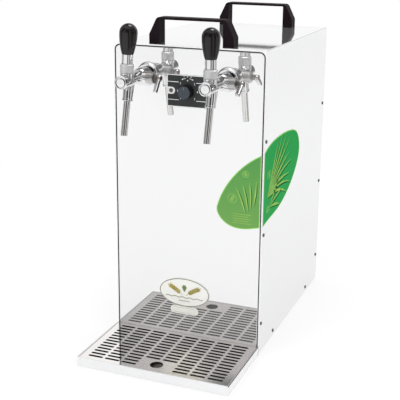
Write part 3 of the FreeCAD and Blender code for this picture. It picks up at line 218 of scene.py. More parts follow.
def cloudy(name, base, roughness, metallic=0.0, spread=0.06, scale=18.0, grain=900.0, lift=0.00004,
           strength=0.25, **sockets):
    """Plain material with cloudy colour, a fine grain and uneven gloss."""
    s = Shader(name, base, metallic, roughness, **sockets)
    cloud = s.noise(scale, 4.0, 0.55)
    s.colour(s.ramp(cloud, (0.3, shade(base, -spread)), (0.7, shade(base, spread))))
    s.rough(cloud, roughness * 0.85, roughness * 1.2)
    s.bump(s.noise(grain, 2.0), strength, lift)
    return s.mat


def brushed(name, base, roughness, scale, spread=0.07):
    """Brushed metal; scale is the pattern's scale along X, Y and Z, small along the brushing."""
    s = Shader(name, base, 1.0, roughness)
    lines = s.noise(1.0, 3.0, 0.65, s.stretch(scale))
    cloud = s.noise(9.0, 2.0)
    tone = s.math("MULTIPLY_ADD", lines, 0.7, s.math("MULTIPLY", cloud, 0.3))
    s.colour(s.ramp(tone, (0.3, shade(base, -spread)), (0.7, shade(base, spread))))
    s.rough(lines, roughness * 0.75, roughness * 1.3)
    s.bump(lines, 0.35, 0.00002)
    return s.mat


def put(node, mat):
    obj = NODES[node]
    if not obj.data.materials:
        obj.data.materials.append(mat)
    for i in range(len(obj.data.materials)):
        obj.data.materials[i] = mat


# Mesh helpers
class Flat:
    """Collects thin printed shapes that lie on one plane, each a closed prism."""

    def __init__(self, place, thick=PRINT_LIFT):
        self.place = place
        self.thick = thick
        self.verts = []
        self.faces = []

    def shape(self, outline):
        """Adds one prism from a list of (u, v) corners in millimetres."""
        n = len(outline)
        start = len(self.verts)
        for depth in (0.0, self.thick):
            for u, v in outline:
                self.verts.append(self.place(u * MM, v * MM, depth))
        self.faces.append(tuple(start + i for i in reversed(range(n))))
        self.faces.append(tuple(start + n + i for i in range(n)))
        for i in range(n):
            j = (i + 1) % n
            self.faces.append((start + i, start + j, start + n + j, start + n + i))

    def ribbon(self, left, right, closed=False):
        """Adds a strip between two rows of (u, v) points."""
        n = len(left)
        start = len(self.verts)
        for depth in (0.0, self.thick):
            for row in (left, right):
                for u, v in row:
                    self.verts.append(self.place(u * MM, v * MM, depth))
        a, b, c, d = (start + k * n for k in range(4))
        last = n if closed else n - 1
        for i in range(last):
            j = (i + 1) % n
            self.faces.append((a + i, b + i, b + j, a + j))
            self.faces.append((c + i, c + j, d + j, d + i))
            self.faces.append((a + i, a + j, c + j, c + i))
            self.faces.append((b + i, d + i, d + j, b + j))
        if not closed:
            self.faces.append((a, c, d, b))
            e = n - 1
            self.faces.append((a + e, b + e, d + e, c + e))

    def piece(self, name, mat, body, slot):
        """Makes one piece of all the shapes, which rides on the body."""
        mesh = bpy.data.meshes.new(name)
        mesh.from_pydata([tuple(v) for v in self.verts], [], self.faces)
        mesh.update()
        mesh.materials.append(mat)
        obj = bpy.data.objects.new(name, mesh)
        scene.collection.objects.link(obj)
        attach(obj, body)
        bm = bmesh.new()
        bm.from_mesh(mesh)
        bmesh.ops.recalc_face_normals(bm, faces=bm.faces)
        bm.to_mesh(mesh)
        bm.free()


def on_panel(y):
    """Places a print on a plane that faces the user."""
    return lambda u, v, depth: Vector((u, y - depth, v))


def on_side(x):
    """Places a print on the right side; u is the depth Y and v the height."""
    return lambda u, v, depth: Vector((x + depth, u, v))


def oval(u, v, a, b, n=72):
    """Ring of points with half-widths a and b."""
    return [(u + a * math.cos(2 * math.pi * i / n), v + b * math.sin(2 * math.pi * i / n)) for i in range(n)]


def circle(u, v, r, n=32):
    return oval(u, v, r, r, n)


def leaf(u, v, length, width, angle):
    """Pointed leaf outline that starts at (u, v)."""
    n = 12
    upper = [(length * t / n, width / 2 * math.sin(math.pi * (t / n) ** 0.8)) for t in range(n + 1)]
    lower = [(x, -y) for x, y in upper[1:-1]]
    ca, sa = math.cos(angle), math.sin(angle)
    return [(u + ca * x - sa * y, v + sa * x + ca * y) for x, y in upper + lower[::-1]]


# Camera, as fitted to the photograph
def set_camera():
    """The focal length and the shift are in pixels of the photograph; place is in metres."""
    focal_px, width_px, shift_px = 904.8, 400.0, (1.3, -15.6)
    place = (0.5784, PANEL_Y - 1.4158, 0.7397)
    azimuth, elevation, roll = math.radians(21.46), math.radians(15.92), math.radians(0.52)
    ca, sa, ce, se = math.cos(azimuth), math.sin(azimuth), math.cos(elevation), math.sin(elevation)
    forward = Vector((-sa * ce, ca * ce, -se))
    right = Vector((ca, sa, 0.0))
    up = right.cross(forward)
    cr, sr = math.cos(roll), math.sin(roll)
    right, up = cr * right + sr * up, -sr * right + cr * up
    data = bpy.data.cameras.new("camera")
    data.sensor_width = 36.0
    data.lens = focal_px * data.sensor_width / width_px
    data.shift_x, data.shift_y = (shift / width_px for shift in shift_px)
    data.clip_end = 50.0
    camera = bpy.data.objects.new("camera", data)
    scene.collection.objects.link(camera)
    back = -forward
    rows = [(right[i], up[i], back[i], place[i]) for i in range(3)]
    camera.matrix_world = Matrix(rows + [(0, 0, 0, 1)])
    scene.camera = camera


# Light, floor and world
# The studio as bright metal sees it: each pair is a direction round the object, as a share of a turn
# with 0.5 towards the user, and how bright the room is there. Low is the white sweep with narrow
# gaps, high is the room above the table, dark in front and white behind.
STUDIO_LOW = (
    (0.00, 1.0), (0.15, 1.0), (0.17, 0.3), (0.22, 0.3), (0.235, 0.6), (0.27, 0.6), (0.285, 0.2),
    (0.335, 0.2), (0.35, 0.9), (0.40, 1.0), (0.535, 1.0), (0.548, 0.06), (0.588, 0.06), (0.598, 0.5),
    (0.655, 0.5), (0.665, 0.07), (0.735, 0.07), (0.745, 1.0), (0.785, 1.0), (0.795, 0.3), (0.845, 0.3),
    (0.86, 0.8), (0.90, 1.0), (1.00, 1.0),
)
STUDIO_HIGH = (
    (0.00, 1.0), (0.14, 1.0), (0.165, 0.35), (0.215, 0.35), (0.235, 0.7), (0.27, 0.7), (0.29, 0.10),
    (0.335, 0.10), (0.355, 0.35), (0.395, 0.5), (0.475, 0.5), (0.492, 0.07), (0.595, 0.07), (0.61, 0.8),
    (0.645, 0.8), (0.66, 0.08), (0.73, 0.08), (0.745, 0.6), (0.775, 0.6), (0.79, 0.12), (0.845, 0.12),
    (0.86, 0.8), (0.90, 1.0), (1.00, 1.0),
)


def set_world():
    world = bpy.data.worlds.new("studio")
    scene.world = world
    world.use_nodes = True
    world.node_tree.nodes.clear()
    t = Tree(world.node_tree)
    new = t.tree.nodes.new
    path = new("ShaderNodeLightPath")
    parts = new("ShaderNodeSeparateXYZ")
    t.link(new("ShaderNodeTexCoord").outputs["Generated"], parts.inputs[0])
    x, y, z = parts.outputs
    turn = t.turn(x, y)

    def zone(value, low, full, last, high):
        """1 from full to last, fading to 0 at low and high."""
        return t.math("MULTIPLY", t.span(value, low, full), t.span(value, last, high, 1.0, 0.0))

    # In front of the table the room gets darker with height.
    front = t.math("MULTIPLY", zone(turn, 0.30, 0.34, 0.66, 0.70), t.span(z, 0.38, 0.5, 0.0, 0.55))
    high = t.mix(front, t.ramp(turn, *STUDIO_HIGH), (0, 0, 0))
    # A pale board stands high in front of the table.
    board = t.math("MULTIPLY", zone(turn, 0.4225, 0.432, 0.475, 0.485), zone(z, 0.37, 0.40, 0.52, 0.56))
    high = t.mix(board, high, (0.60, 0.585, 0.58))
    room = t.mix(t.span(z, 0.0, 0.07), t.ramp(turn, *STUDIO_LOW), high)
    # High overhead the studio is white in front of the table and warm grey behind it.
    ceiling = t.mix(zone(turn, 0.19, 0.27, 0.93, 0.97), (0.40, 0.365, 0.355), (1, 1, 1))
    room = t.mix(t.span(z, 0.62, 0.85), room, ceiling)
    # A dark beam crosses the ceiling behind the table.
    beam = t.math("MULTIPLY", zone(z, 0.53, 0.58, 0.80, 0.86), t.span(turn, 0.18, 0.22, 1.0, 0.0))
    room = t.mix(beam, room, (0.12, 0.095, 0.09))
    seen = t.math("MAXIMUM", path.outputs["Is Camera Ray"], path.outputs["Is Transmission Ray"])
    ambient = t.emit("Background", strength=AMBIENT)
    lit = t.blend(path.outputs["Is Glossy Ray"], ambient, t.emit("Background", room))
    t.link(t.blend(seen, lit, t.emit("Background")), new("ShaderNodeOutputWorld").inputs[0])


def area_light(name, place, size, power, mirrored=False):
    """Square lamp that faces the middle of the case; only a mirrored one shows in polished metal."""
    target = (0, 0, 0.3)
    data = bpy.data.lights.new(name, "AREA")
    data.shape = "RECTANGLE"
    data.size = data.size_y = size
    data.energy = power
    light = bpy.data.objects.new(name, data)
    scene.collection.objects.link(light)
    light.location = place
    light.visible_glossy = mirrored
    light.rotation_euler = (Vector(target) - Vector(place)).to_track_quat("-Z", "Y").to_euler()


def set_floor():
    """Pale floor that keeps a faint shadow near the object and is plain white further out."""
    s = Shader("floor_white", (0.93, 0.93, 0.93), 0.0, 0.75)
    s.colour(s.ramp(s.noise(2.0), (0.3, 0.925), (0.7, 0.935)))
    x, y, _ = s.split()
    far = s.near(x, y, 0.0, 0.0)
    path = s.tree.nodes.new("ShaderNodeLightPath")
    white = s.math("MULTIPLY", path.outputs["Is Camera Ray"], s.span(far, 0.6, 1.3, 0.75, 1.0))
    camera = s.blend(white, s.bsdf.outputs[0], s.emit("Emission"))
    # Away from the object, metal sees the same bright and dark studio in the floor as above it.
    room = s.mix(s.span(far, 0.75, 1.0), (1, 1, 1), s.ramp(s.turn(x, y), *STUDIO_LOW))
    metal = s.blend(s.math("MULTIPLY", path.outputs["Is Glossy Ray"], 0.85), camera, s.emit("Emission", room))
    s.link(metal, s.tree.nodes["Material Output"].inputs["Surface"])
    n, half = 24, 5.0
    grid = [-half + 2 * half * i / n for i in range(n + 1)]
    verts = [(u, v, 0.0) for v in grid for u in grid]
    corners = (0, 1, n + 2, n + 1)
    faces = [tuple(j * (n + 1) + i + k for k in corners) for j in range(n) for i in range(n)]
    mesh = bpy.data.meshes.new("floor")
    mesh.from_pydata(verts, [], faces)
    mesh.materials.append(s.mat)
    obj = bpy.data.objects.new("floor", mesh)
    scene.collection.objects.link(obj)


# Materials of the CAD nodes
def panel_steel():
    """Mirror-polished sheet under a thin clear film, with slow waves, polishing haze and painted shade
    towards the bottom.
    """
    s = Shader("panel_mirror", (0.9, 0.9, 0.905), 0.86, 0.03)
    _, _, z = s.split()
    haze = s.noise(1.0, 3.0, 0.6, s.stretch((14.0, 14.0, 3.0)))
    # Painted shade: the sheet's colour gets darker towards the bottom.
    tone = s.math("MULTIPLY_ADD", haze, 0.16, s.span(z, 0.05, 0.5, 0.0, 0.84))
    s.colour(s.ramp(tone, (0.0, (0.865, 0.865, 0.868)), (1.0, (0.90, 0.90, 0.903))))
    s.rough(haze, 0.004, 0.012)
    return s.mat


def cover_steel():
    """Sheet of the wrapped cover: polished on top, satin on the sides, with faint streaks; painted shade
    darkens the sides towards the bottom, the top and the folds.
    """
    s = Shader("cover_satin", (0.87, 0.872, 0.88), 0.88, 0.12)
    x, y, z = s.split()
    streaks = s.noise(1.0, 2.0, 0.5, s.stretch((30.0, 30.0, 0.6)))
    tone = s.math("MULTIPLY_ADD", streaks, 0.14, s.span(z, 0.0, 0.42, 0.0, 0.86))
    top = s.above(z, CAD_TOP - 0.001)
    # Painted shade: the sides' colour gets darker towards the bottom.
    sides = s.ramp(tone, (0.0, (0.79, 0.79, 0.795)), (1.0, (0.885, 0.887, 0.893)))
    # Painted shade: the top is a shade darker than the sides' upper part.
    sheet = s.mix(top, sides, (0.84, 0.84, 0.845))
    # Painted shade: the fold between the top and each side is painted dark.
    fold = s.both(s.above(s.math("ABSOLUTE", x), CAD_SIDE - 0.0022), s.above(z, CAD_TOP - 0.0012))
    s.colour(s.mix(fold, sheet, (0.60, 0.60, 0.615)))
    # The hem along the front is duller, less metallic.
    hem = s.span(y, CAD_FRONT + 0.0018, CAD_FRONT + 0.0024)
    s.drive("Metallic", s.math("MULTIPLY_ADD", hem, 0.68, 0.2))
    satin = s.span(streaks, 0.3, 0.7, 0.10, 0.15)
    s.drive("Roughness", s.math("MULTIPLY_ADD", s.math("SUBTRACT", 0.055, satin), top, satin))
    return s.mat


def tray_steel():
    """Polished sheet of the tray, dull inside, where drip streaks lie under painted shade; its side edges are
    rolled and painted in shadow.
    """
    low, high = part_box("drip_tray")
    wall = 2.2 * MM
    s = Shader("tray_steel", (0.85, 0.85, 0.86), 0.6, 0.2, Specular_IOR_Level=0.1)
    x, y, z = s.split()
    inside = s.both(s.below(s.math("ABSOLUTE", x), high.x - wall), s.between(y, low.y + wall, high.y - wall))
    bright = s.ramp(s.noise(9.0, 3.0), (0.3, (0.83, 0.83, 0.84)), (0.7, (0.855, 0.855, 0.865)))
    streaks = s.noise(1.0, 3.0, 0.55, s.stretch((7.0, 75.0, 7.0)))
    # Painted shade with drip streaks: the inside is painted dark, streaked where drips ran.
    drips_and_shade = s.ramp(streaks, (0.42, (0.018, 0.016, 0.015)), (0.66, (0.12, 0.10, 0.09)))
    # Painted shade: the inside is nearly black towards its left end.
    drips_and_shade = s.mix(s.span(x, low.x + 0.05, low.x + 0.06, 1.0, 0.0), drips_and_shade, (0.015, 0.014, 0.014))
    # Painted light: the tray's floor is painted lighter under the finger hole.
    light_pool = s.span(s.near(x, y, -0.004, low.y + 0.048), 0.009, 0.012, 1.0, 0.0)
    drips_and_shade = s.mix(light_pool, drips_and_shade, (0.40, 0.38, 0.34))
    # Outer rolled edges and the joint with the cabinet lie in shadow.
    upper = s.above(z, high.z - 0.0013)
    edge = s.both(s.above(x, high.x - 0.0010), upper)
    joint = s.both(s.above(x, high.x - 0.0004), s.above(y, high.y - 0.0028))
    far_edge = s.both(s.below(x, low.x + 0.0006), upper)
    bright = s.mix(s.math("MAXIMUM", edge, joint), bright, (0.02, 0.02, 0.02))
    bright = s.mix(far_edge, bright, (0.25, 0.25, 0.25))
    # The rim along the cabinet is polished like the grille.
    rim = s.both(s.above(y, high.y - wall), s.above(z, high.z - 0.0002))
    bright = s.mix(rim, bright, (0.92, 0.885, 0.87))
    s.colour(s.mix(inside, bright, drips_and_shade))
    s.drive("Roughness", s.span(rim, 0.0, 1.0, 0.23, 0.06))
    s.drive("Metallic", s.math("MAXIMUM", s.math("MULTIPLY_ADD", inside, -0.6, 0.6), rim))
    return s.mat


def slot_edge_shade(s, x, y):
    """1 on a band of painted shade round the edge of each of the grille's slots."""
    straight = s.math("WRAP", s.math("SUBTRACT", x, SLOT_PITCH_X / 2), SLOT_PITCH_X / 2, -SLOT_PITCH_X / 2)
    across = s.math("MAXIMUM", s.math("SUBTRACT", s.math("ABSOLUTE", straight), SLOT_STRAIGHT), 0.0)
    along = s.math("WRAP", s.math("SUBTRACT", y, SLOT_FRONT_ROW), SLOT_PITCH_Y / 2, -SLOT_PITCH_Y / 2)
    away = s.math("SQRT", s.math("MULTIPLY_ADD", along, along, s.math("MULTIPLY", across, across)))
    # Only the two middle columns start behind the finger hole.
    middle = s.below(s.math("ABSOLUTE", x), SLOT_PITCH_X)
    start = s.math("MULTIPLY_ADD", middle, 3 * SLOT_PITCH_Y, SLOT_FRONT_ROW - SLOT_PITCH_Y / 2)
    rows = s.both(s.above(y, start), s.below(y, SLOT_FRONT_ROW + 12.5 * SLOT_PITCH_Y))
    rows = s.both(rows, s.below(s.math("ABSOLUTE", x), 4 * SLOT_PITCH_X))
    return s.both(rows, s.span(away, 0.0027, 0.0032, 0.92, 0.0))


def grille_steel():
    """Polished plate with faint brushing along its width and wiping marks; its slot walls and a band round
    each slot are painted shade, and its front right corner is a painted dark reflection.
    """
    low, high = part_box("drip_grille")
    border = 0.0004
    s = Shader("grille_polished", (0.90, 0.865, 0.85), 1.0, 0.07, Specular_IOR_Level=0.02)
    x, y, z = s.split()
    lines = s.noise(1.0, 3.0, 0.65, s.stretch((6.0, 900.0, 900.0)))
    wipes = s.noise(1.0, 4.0, 0.6, s.stretch((16.0, 34.0, 10.0)))
    tone = s.math("MULTIPLY_ADD", lines, 0.4, s.math("MULTIPLY", wipes, 0.6))
    plate = s.ramp(tone, (0.3, (0.86, 0.83, 0.815)), (0.7, (0.95, 0.915, 0.90)))
    # Painted reflection: the plate is painted darker towards its front right corner, as a dark reflection.
    corner = s.span(s.near(x, y, high.x, low.y), 0.012, 0.055, 0.72, 0.0)
    plate = s.mix(corner, plate, (0.20, 0.19, 0.20))
    within_border = s.both(s.below(s.math("ABSOLUTE", x), high.x - border),
                           s.between(y, low.y + border, high.y - border))
    # Painted shade: the slot walls, the underside inside the border and a band round each slot are painted
    # nearly black.
    walls = s.both(within_border, s.below(z, high.z - 0.00015))
    dark = s.math("MAXIMUM", slot_edge_shade(s, x, y), walls)
    s.colour(s.mix(dark, plate, (0.006, 0.0055, 0.0055)))
    s.drive("Metallic", s.math("SUBTRACT", 1.0, dark))
    # The plate is duller towards the right.
    worn = s.span(x, -0.05, 0.02, 0.0, 0.17)
    s.drive("Roughness", s.math("ADD", worn, s.span(wipes, 0.3, 0.7, 0.04, 0.07)))
    return s.mat


def knurled(name, base, roughness, centre_x):
    """Satin metal with a fine diamond knurl round the upright axis at centre_x."""
    s = Shader(name, base, 0.6, roughness)
    x, y, z = s.split()
    angle = s.math("ARCTAN2", s.math("SUBTRACT", x, centre_x), s.math("SUBTRACT", y, COLLAR_Y))
    round_ = s.math("MULTIPLY", angle, COLLAR_RADIUS)
    leans = [s.math(operation, round_, z) for operation in ("ADD", "SUBTRACT")]
    waves = [s.math("SINE", s.math("MULTIPLY", lean, 5200.0)) for lean in leans]
    diamonds = s.math("MULTIPLY", *waves)
    # Painted shade and highlight: the knurl's grooves are painted darker and its ridges lighter.
    s.colour(s.ramp(diamonds, (0.0, shade(base, -0.25)), (1.0, shade(base, 0.15))))
    s.rough(s.noise(40.0), roughness * 0.8, roughness * 1.2)
    s.bump(diamonds, 0.5, 0.0001)
    return s.mat


def plated(name):
    """Chrome with faint cloudiness and polishing marks; returns the shader and its plain colour."""
    base, roughness = (0.84, 0.84, 0.85), 0.05
    s = Shader(name, base, 1.0, roughness)
    cloud = s.noise(30.0, 4.0, 0.55)
    plain = s.ramp(cloud, (0.3, shade(base, -0.03)), (0.7, shade(base, 0.03)))
    s.colour(plain)
    s.rough(cloud, roughness * 0.85, roughness * 1.2)
    s.bump(s.noise(500.0, 2.0), 0.1, 0.00001)
    return s, plain


def tap_metal(side, centre_x):
    """Chrome of the tap's body; the cast boss of its flow lever is satin and duller."""
    s, plain = plated(side + "_tap_chrome")
    x, _, _ = s.split()
    boss = s.span(x, centre_x + 0.0153, centre_x + 0.0157)
    s.colour(s.mix(boss, plain, (0.60, 0.59, 0.58)))
    s.drive("Roughness", s.math("MULTIPLY_ADD", boss, 0.26, 0.05))
    return s.mat


def cap_metal(side):
    """Chrome of the cap, with painted shade in its round groove and a fine lathe-turned face."""
    low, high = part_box(side + "_tap_cap")
    s, plain = plated(side + "_cap_chrome")
    x, y, z = s.split()
    r = s.near(x, z, (low.x + high.x) / 2, (low.z + high.z) / 2)
    # Painted shade: the round groove is painted nearly black.
    groove = s.both(s.between(r, 0.0071, 0.0092), s.below(y, low.y + 0.0014))
    s.colour(s.mix(groove, plain, (0.03, 0.03, 0.03)))
    s.bump(s.math("SINE", s.math("MULTIPLY", r, 9000.0)), 0.15, 0.00001)
    return s.mat


def regulator_metal(side):
    """Chrome of the flow lever, rounded across its width; the hub is a darker, warm brown."""
    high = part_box(side + "_tap_regulator")[1]
    s, plain = plated(side + "_regulator_chrome")
    x, y, z = s.split()
    hub = s.span(s.near(y, z, REGULATOR_Y, TAP_Z), 0.0042, 0.0056, 1.0, 0.0)
    s.colour(s.mix(hub, plain, (0.45, 0.36, 0.33)))
    across = s.math("SUBTRACT", x, high.x - 0.00325)
    s.bump(s.math("MULTIPLY", s.math("MULTIPLY", across, across), -115000.0), 1.0, 0.001)
    return s.mat


def dial_plastic():
    """Black knob, its face painted a lighter blue-grey as lit and its side darker as shaded."""
    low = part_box("dial_knob")[0]
    s = Shader("dial_knob", (0.012, 0.013, 0.014), 0.0, 0.4, Specular_IOR_Level=0.15)
    _, y, _ = s.split()
    cloud = s.noise(60.0, 4.0)
    side = s.ramp(cloud, (0.3, (0.008, 0.009, 0.010)), (0.7, (0.013, 0.014, 0.016)))
    face = s.ramp(cloud, (0.3, (0.058, 0.068, 0.082)), (0.7, (0.072, 0.082, 0.096)))
    # Painted light and shade: the face is painted a lighter blue-grey, as lit, and the side darker, as
    # shaded.
    s.colour(s.mix(s.below(y, low.y + 0.0009), side, face))
    s.rough(cloud, 0.34, 0.48)
    s.bump(s.noise(1800.0, 2.0), 0.25, 0.00005)
    return s.mat


def decal_film(name, low, high):
    """Printed film: a green that changes with the height, with a soft mottled print."""
    s = Shader(name, low, 0.0, 0.35, Specular_IOR_Level=0.0)
    _, _, z = s.split()
    tone = s.math("MULTIPLY_ADD", s.noise(22.0, 3.0), 0.3, s.span(z, 0.24, 0.36, 0.0, 0.7))
    s.colour(s.ramp(tone, (0.0, low), (1.0, high)))
    s.rough(s.noise(60.0), 0.3, 0.42)
    return s.mat


def set_materials():
    chrome = plated("chrome")[0].mat
    satin_tube = brushed("satin_tube", (0.85, 0.833, 0.815), 0.16, (900.0, 900.0, 18.0), spread=0.1)
    knob = cloudy("knob_gloss", (0.0075, 0.0055, 0.0055), 0.07, spread=0.3, scale=40.0, grain=300.0,
                  lift=0.00001, strength=0.1, Specular_IOR_Level=0.4)
    valve = cloudy("valve_plastic", (0.82, 0.82, 0.8), 0.45)
    seal = cloudy("seal_rubber", (0.03, 0.03, 0.03), 0.6)
    handle = cloudy("handle_plastic", (0.0125, 0.008, 0.0105), 0.5, spread=0.18, scale=25.0, grain=1400.0,
                    strength=0.3, Specular_IOR_Level=0.03)
    rubber = cloudy("black_rubber", (0.012, 0.012, 0.012), 0.65, spread=0.2, scale=30.0, grain=1200.0)
    screw = brushed("screw_steel", (0.55, 0.55, 0.55), 0.25, (300.0, 300.0, 300.0))
    dark_screw = brushed("dark_screw", (0.16, 0.15, 0.15), 0.35, (300.0, 300.0, 300.0))
    tray = tray_steel()
    zinc = cloudy("zinc_sheet", (0.56, 0.57, 0.58), 0.38, metallic=0.9, spread=0.08, scale=35.0, grain=600.0)
    machine = cloudy("machine_black", (0.02, 0.02, 0.022), 0.3, spread=0.15)
    aluminium = brushed("aluminium", (0.72, 0.72, 0.73), 0.35, (200.0, 20.0, 200.0))
    copper = cloudy("copper_pipe", (0.65, 0.3, 0.17), 0.28, metallic=1.0, spread=0.12, scale=50.0)
    foam = cloudy("rigid_foam", (0.75, 0.66, 0.42), 0.8, spread=0.1, scale=60.0, grain=800.0, lift=0.0003,
                  strength=0.6)
    fan = cloudy("fan_plastic", (0.02, 0.02, 0.02), 0.4)
    fitting = cloudy("fitting_plastic", (0.62, 0.62, 0.6), 0.4)
    collet = cloudy("collet_plastic", (0.03, 0.03, 0.03), 0.4)
    brass = brushed("spindle_brass", (0.7, 0.52, 0.25), 0.25, (300.0, 20.0, 300.0))
    plate = cloudy("dial_plate", (0.042, 0.044, 0.045), 0.45, spread=0.12, scale=60.0, grain=1500.0,
                   lift=0.00002, Specular_IOR_Level=0.15)
    badge = cloudy("badge_cream", (0.885, 0.885, 0.84), 0.22, spread=0.02, scale=20.0, grain=400.0,
                   lift=0.00001, strength=0.1, Coat_Weight=0.5, Coat_Roughness=0.08)
    label = cloudy("label_cream", (0.85, 0.85, 0.79), 0.35, spread=0.03, scale=30.0, grain=500.0,
                   lift=0.00001, strength=0.1)
    # Painted sheen: the front film's green is paler and lighter towards the bottom.
    front_film = decal_film("decal_front_film", (0.165, 0.345, 0.092), (0.088, 0.298, 0.08))
    side_film = decal_film("decal_side_film", (0.040, 0.325, 0.09), (0.030, 0.305, 0.078))
    table = {
        "front_panel": panel_steel(), "outer_cover": cover_steel(), "edge_gasket": rubber, "rear_panel": zinc,
        "base_pan": zinc, "feet": rubber, "shelf": zinc, "side_screws": dark_screw, "front_handle": handle,
        "rear_handle": handle, "handle_screws": screw, "badge": badge, "label_strip": label,
        "decal_front": front_film, "decal_side": side_film, "thermostat_plate": plate,
        "plate_screws": dark_screw, "thermostat_body": valve, "dial_spindle": brass,
        "dial_knob": dial_plastic(), "tap_rosettes": chrome, "tap_shanks": chrome, "shank_nuts": screw,
        "drip_tray": tray, "drip_grille": grille_steel(), "beer_lines": aluminium,
        "cooling_block": aluminium, "foam_jacket": foam, "compressor": machine,
        "compressor_grommets": rubber, "condenser": aluminium, "fan_shroud": zinc, "fan_motor": machine,
        "fan_rotor": fan, "refrigerant_pipes": copper, "beer_inlet_fittings": fitting,
        "beer_inlet_nuts": fitting, "left_inlet_collet": collet, "right_inlet_collet": collet,
        "mains_gland": collet,
    }
    for side in ("left", "right"):
        low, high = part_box(side + "_tap_collar")
        centre_x = (low.x + high.x) / 2
        tap = {
            "body": tap_metal(side, centre_x), "cap": cap_metal(side),
            "collar": knurled(side + "_collar_knurl", (0.80, 0.80, 0.80), 0.24, centre_x),
            "lever": chrome, "knob": knob, "plunger": valve, "seal": seal, "spout": satin_tube,
            "regulator": regulator_metal(side), "cone": valve,
        }
        table.update({side + "_tap_" + name: mat for name, mat in tap.items()})
    for node, mat in table.items():
        put(node, mat)
    left = sorted(set(NODES) - set(table))
    if left:
        raise RuntimeError("nodes without a material: %s" % left)


# Printed and small pieces
def bar(flat, u0, v0, u1, v1, width):
    """Adds a straight stroke."""
    length = math.hypot(u1 - u0, v1 - v0)
    a, b = -(v1 - v0) / length * width / 2, (u1 - u0) / length * width / 2
    flat.shape([(u0 + a, v0 + b), (u1 + a, v1 + b), (u1 - a, v1 - b), (u0 - a, v0 - b)])


def arc(flat, u, v, r, start, end, width):
    """Adds an arc drawn between two angles in degrees."""
    n = 10
    turns = [math.radians(start + (end - start) * i / n) for i in range(n + 1)]
    radii = (r + width / 2, r - width / 2)
    flat.ribbon(*([(u + k * math.cos(a), v + k * math.sin(a)) for a in turns] for k in radii))


def plate_print():
    white = cloudy("print_white", (0.84, 0.85, 0.84), 0.5, spread=0.04, scale=80.0, lift=0.00001,
                   Specular_IOR_Level=0.2)
    flat = Flat(on_panel(PLATE_Y))
    low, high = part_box("thermostat_plate")
    half_w = (high.x - low.x) / 2 / MM
    half_h = (high.z - low.z) / 2 / MM
    centre = DIAL_Z / MM

    def frame_row(inset):
        w, h = half_w - inset, half_h - inset
        return [(-w, centre - h), (w, centre - h), (w, centre + h), (-w, centre + h)]

    # Border, two rules on each side of the dial, and a round-ended tab behind each screw
    flat.ribbon(frame_row(0.1), frame_row(1.4), closed=True)
    rule_start, rule_end = 16.3, half_w - 1.5
    for z in (centre + 15.2, centre - 15.7):
        for sign in (-1, 1):
            bar(flat, sign * rule_start, z, sign * rule_end, z, 1.0)
    tab_x, tab_reach, tab_half = 29.2, 6.2, 6.1
    for sign in (-1, 1):
        tab = [(sign * rule_end, centre - 6.2)]
        for i in range(13):
            a = -math.pi / 2 + math.pi * i / 12
            tab.append((sign * (tab_x - tab_reach * math.cos(a)), centre - 0.1 + tab_half * math.sin(a)))
        tab.append((sign * rule_end, centre + 6.0))
        flat.shape(tab)
    # Arrows that say which way is colder and which warmer
    arrow_ring = 22.3
    for start, end in ((113, 99), (67, 81)):
        arc(flat, 0, centre, arrow_ring, start, end, 0.8)
        a = math.radians(start)
        u, v = arrow_ring * math.cos(a), centre + arrow_ring * math.sin(a)
        lean = a + math.pi / 2 if start > 90 else a - math.pi / 2
        flat.shape([(u + 2.2 * math.cos(lean), v + 2.2 * math.sin(lean)),
                    (u + 1.5 * math.cos(a), v + 1.5 * math.sin(a)),
                    (u - 1.5 * math.cos(a), v - 1.5 * math.sin(a))])
    # Three plain signs over the dial: a snowflake, a glass and a drop
    signs = Flat(on_panel(PLATE_Y))
    top = centre + 25.6
    for k in range(3):
        a = math.radians(60 * k + 30)
        bar(signs, -6.4 - 1.8 * math.cos(a), top - 1.8 * math.sin(a), -6.4 + 1.8 * math.cos(a),
            top + 1.8 * math.sin(a), 0.6)
    signs.shape([(-1.5, top + 1.7), (-1.0, top - 1.7), (1.0, top - 1.7), (1.5, top + 1.7)])
    signs.shape([(6.4, top + 2.0)] + [(6.4 + 1.35 * math.cos(a), top - 0.6 + 1.35 * math.sin(a))
                                    for a in (math.radians(25 - 23 * i) for i in range(11))])
    flat.piece("plate_print", white, "cabinet", "dial_plate")
    grey = cloudy("print_grey", (0.42, 0.43, 0.43), 0.5, spread=0.04, scale=80.0)
    signs.piece("plate_signs", grey, "cabinet", "dial_plate")
    ring = 18.4 * MM
    for i in range(7):
        a = math.radians(225 - 45 * i)
        curve = bpy.data.curves.new("plate_digit_%d" % (i + 1), "FONT")
        curve.body = str(i + 1)
        curve.size = 4.8 * MM
        curve.offset = 0.00008
        curve.align_x = "CENTER"
        curve.align_y = "CENTER"
        curve.extrude = PRINT_LIFT / 2
        curve.resolution_u = 3
        curve.materials.append(white)
        digit = bpy.data.objects.new("plate_digit_%d" % (i + 1), curve)
        scene.collection.objects.link(digit)
        digit.rotation_euler = (math.pi / 2, 0, 0)
        digit.location = (ring * math.cos(a), PLATE_Y - PRINT_LIFT / 2, DIAL_Z + ring * math.sin(a))
        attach(digit, "cabinet")


def dial_pointer():
    low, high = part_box("dial_knob")
    pale = cloudy("dial_mark", (0.16, 0.17, 0.19), 0.4, spread=0.05)
    flat = Flat(on_panel(low.y))
    z = DIAL_Z / MM
    reach = (high.x - low.x) / 2 / MM - 2.0
    bar(flat, 0, z + reach * 0.45, 0, z + reach, 1.1)
    flat.piece("dial_pointer", pale, "thermostat_dial", "dial_knob")


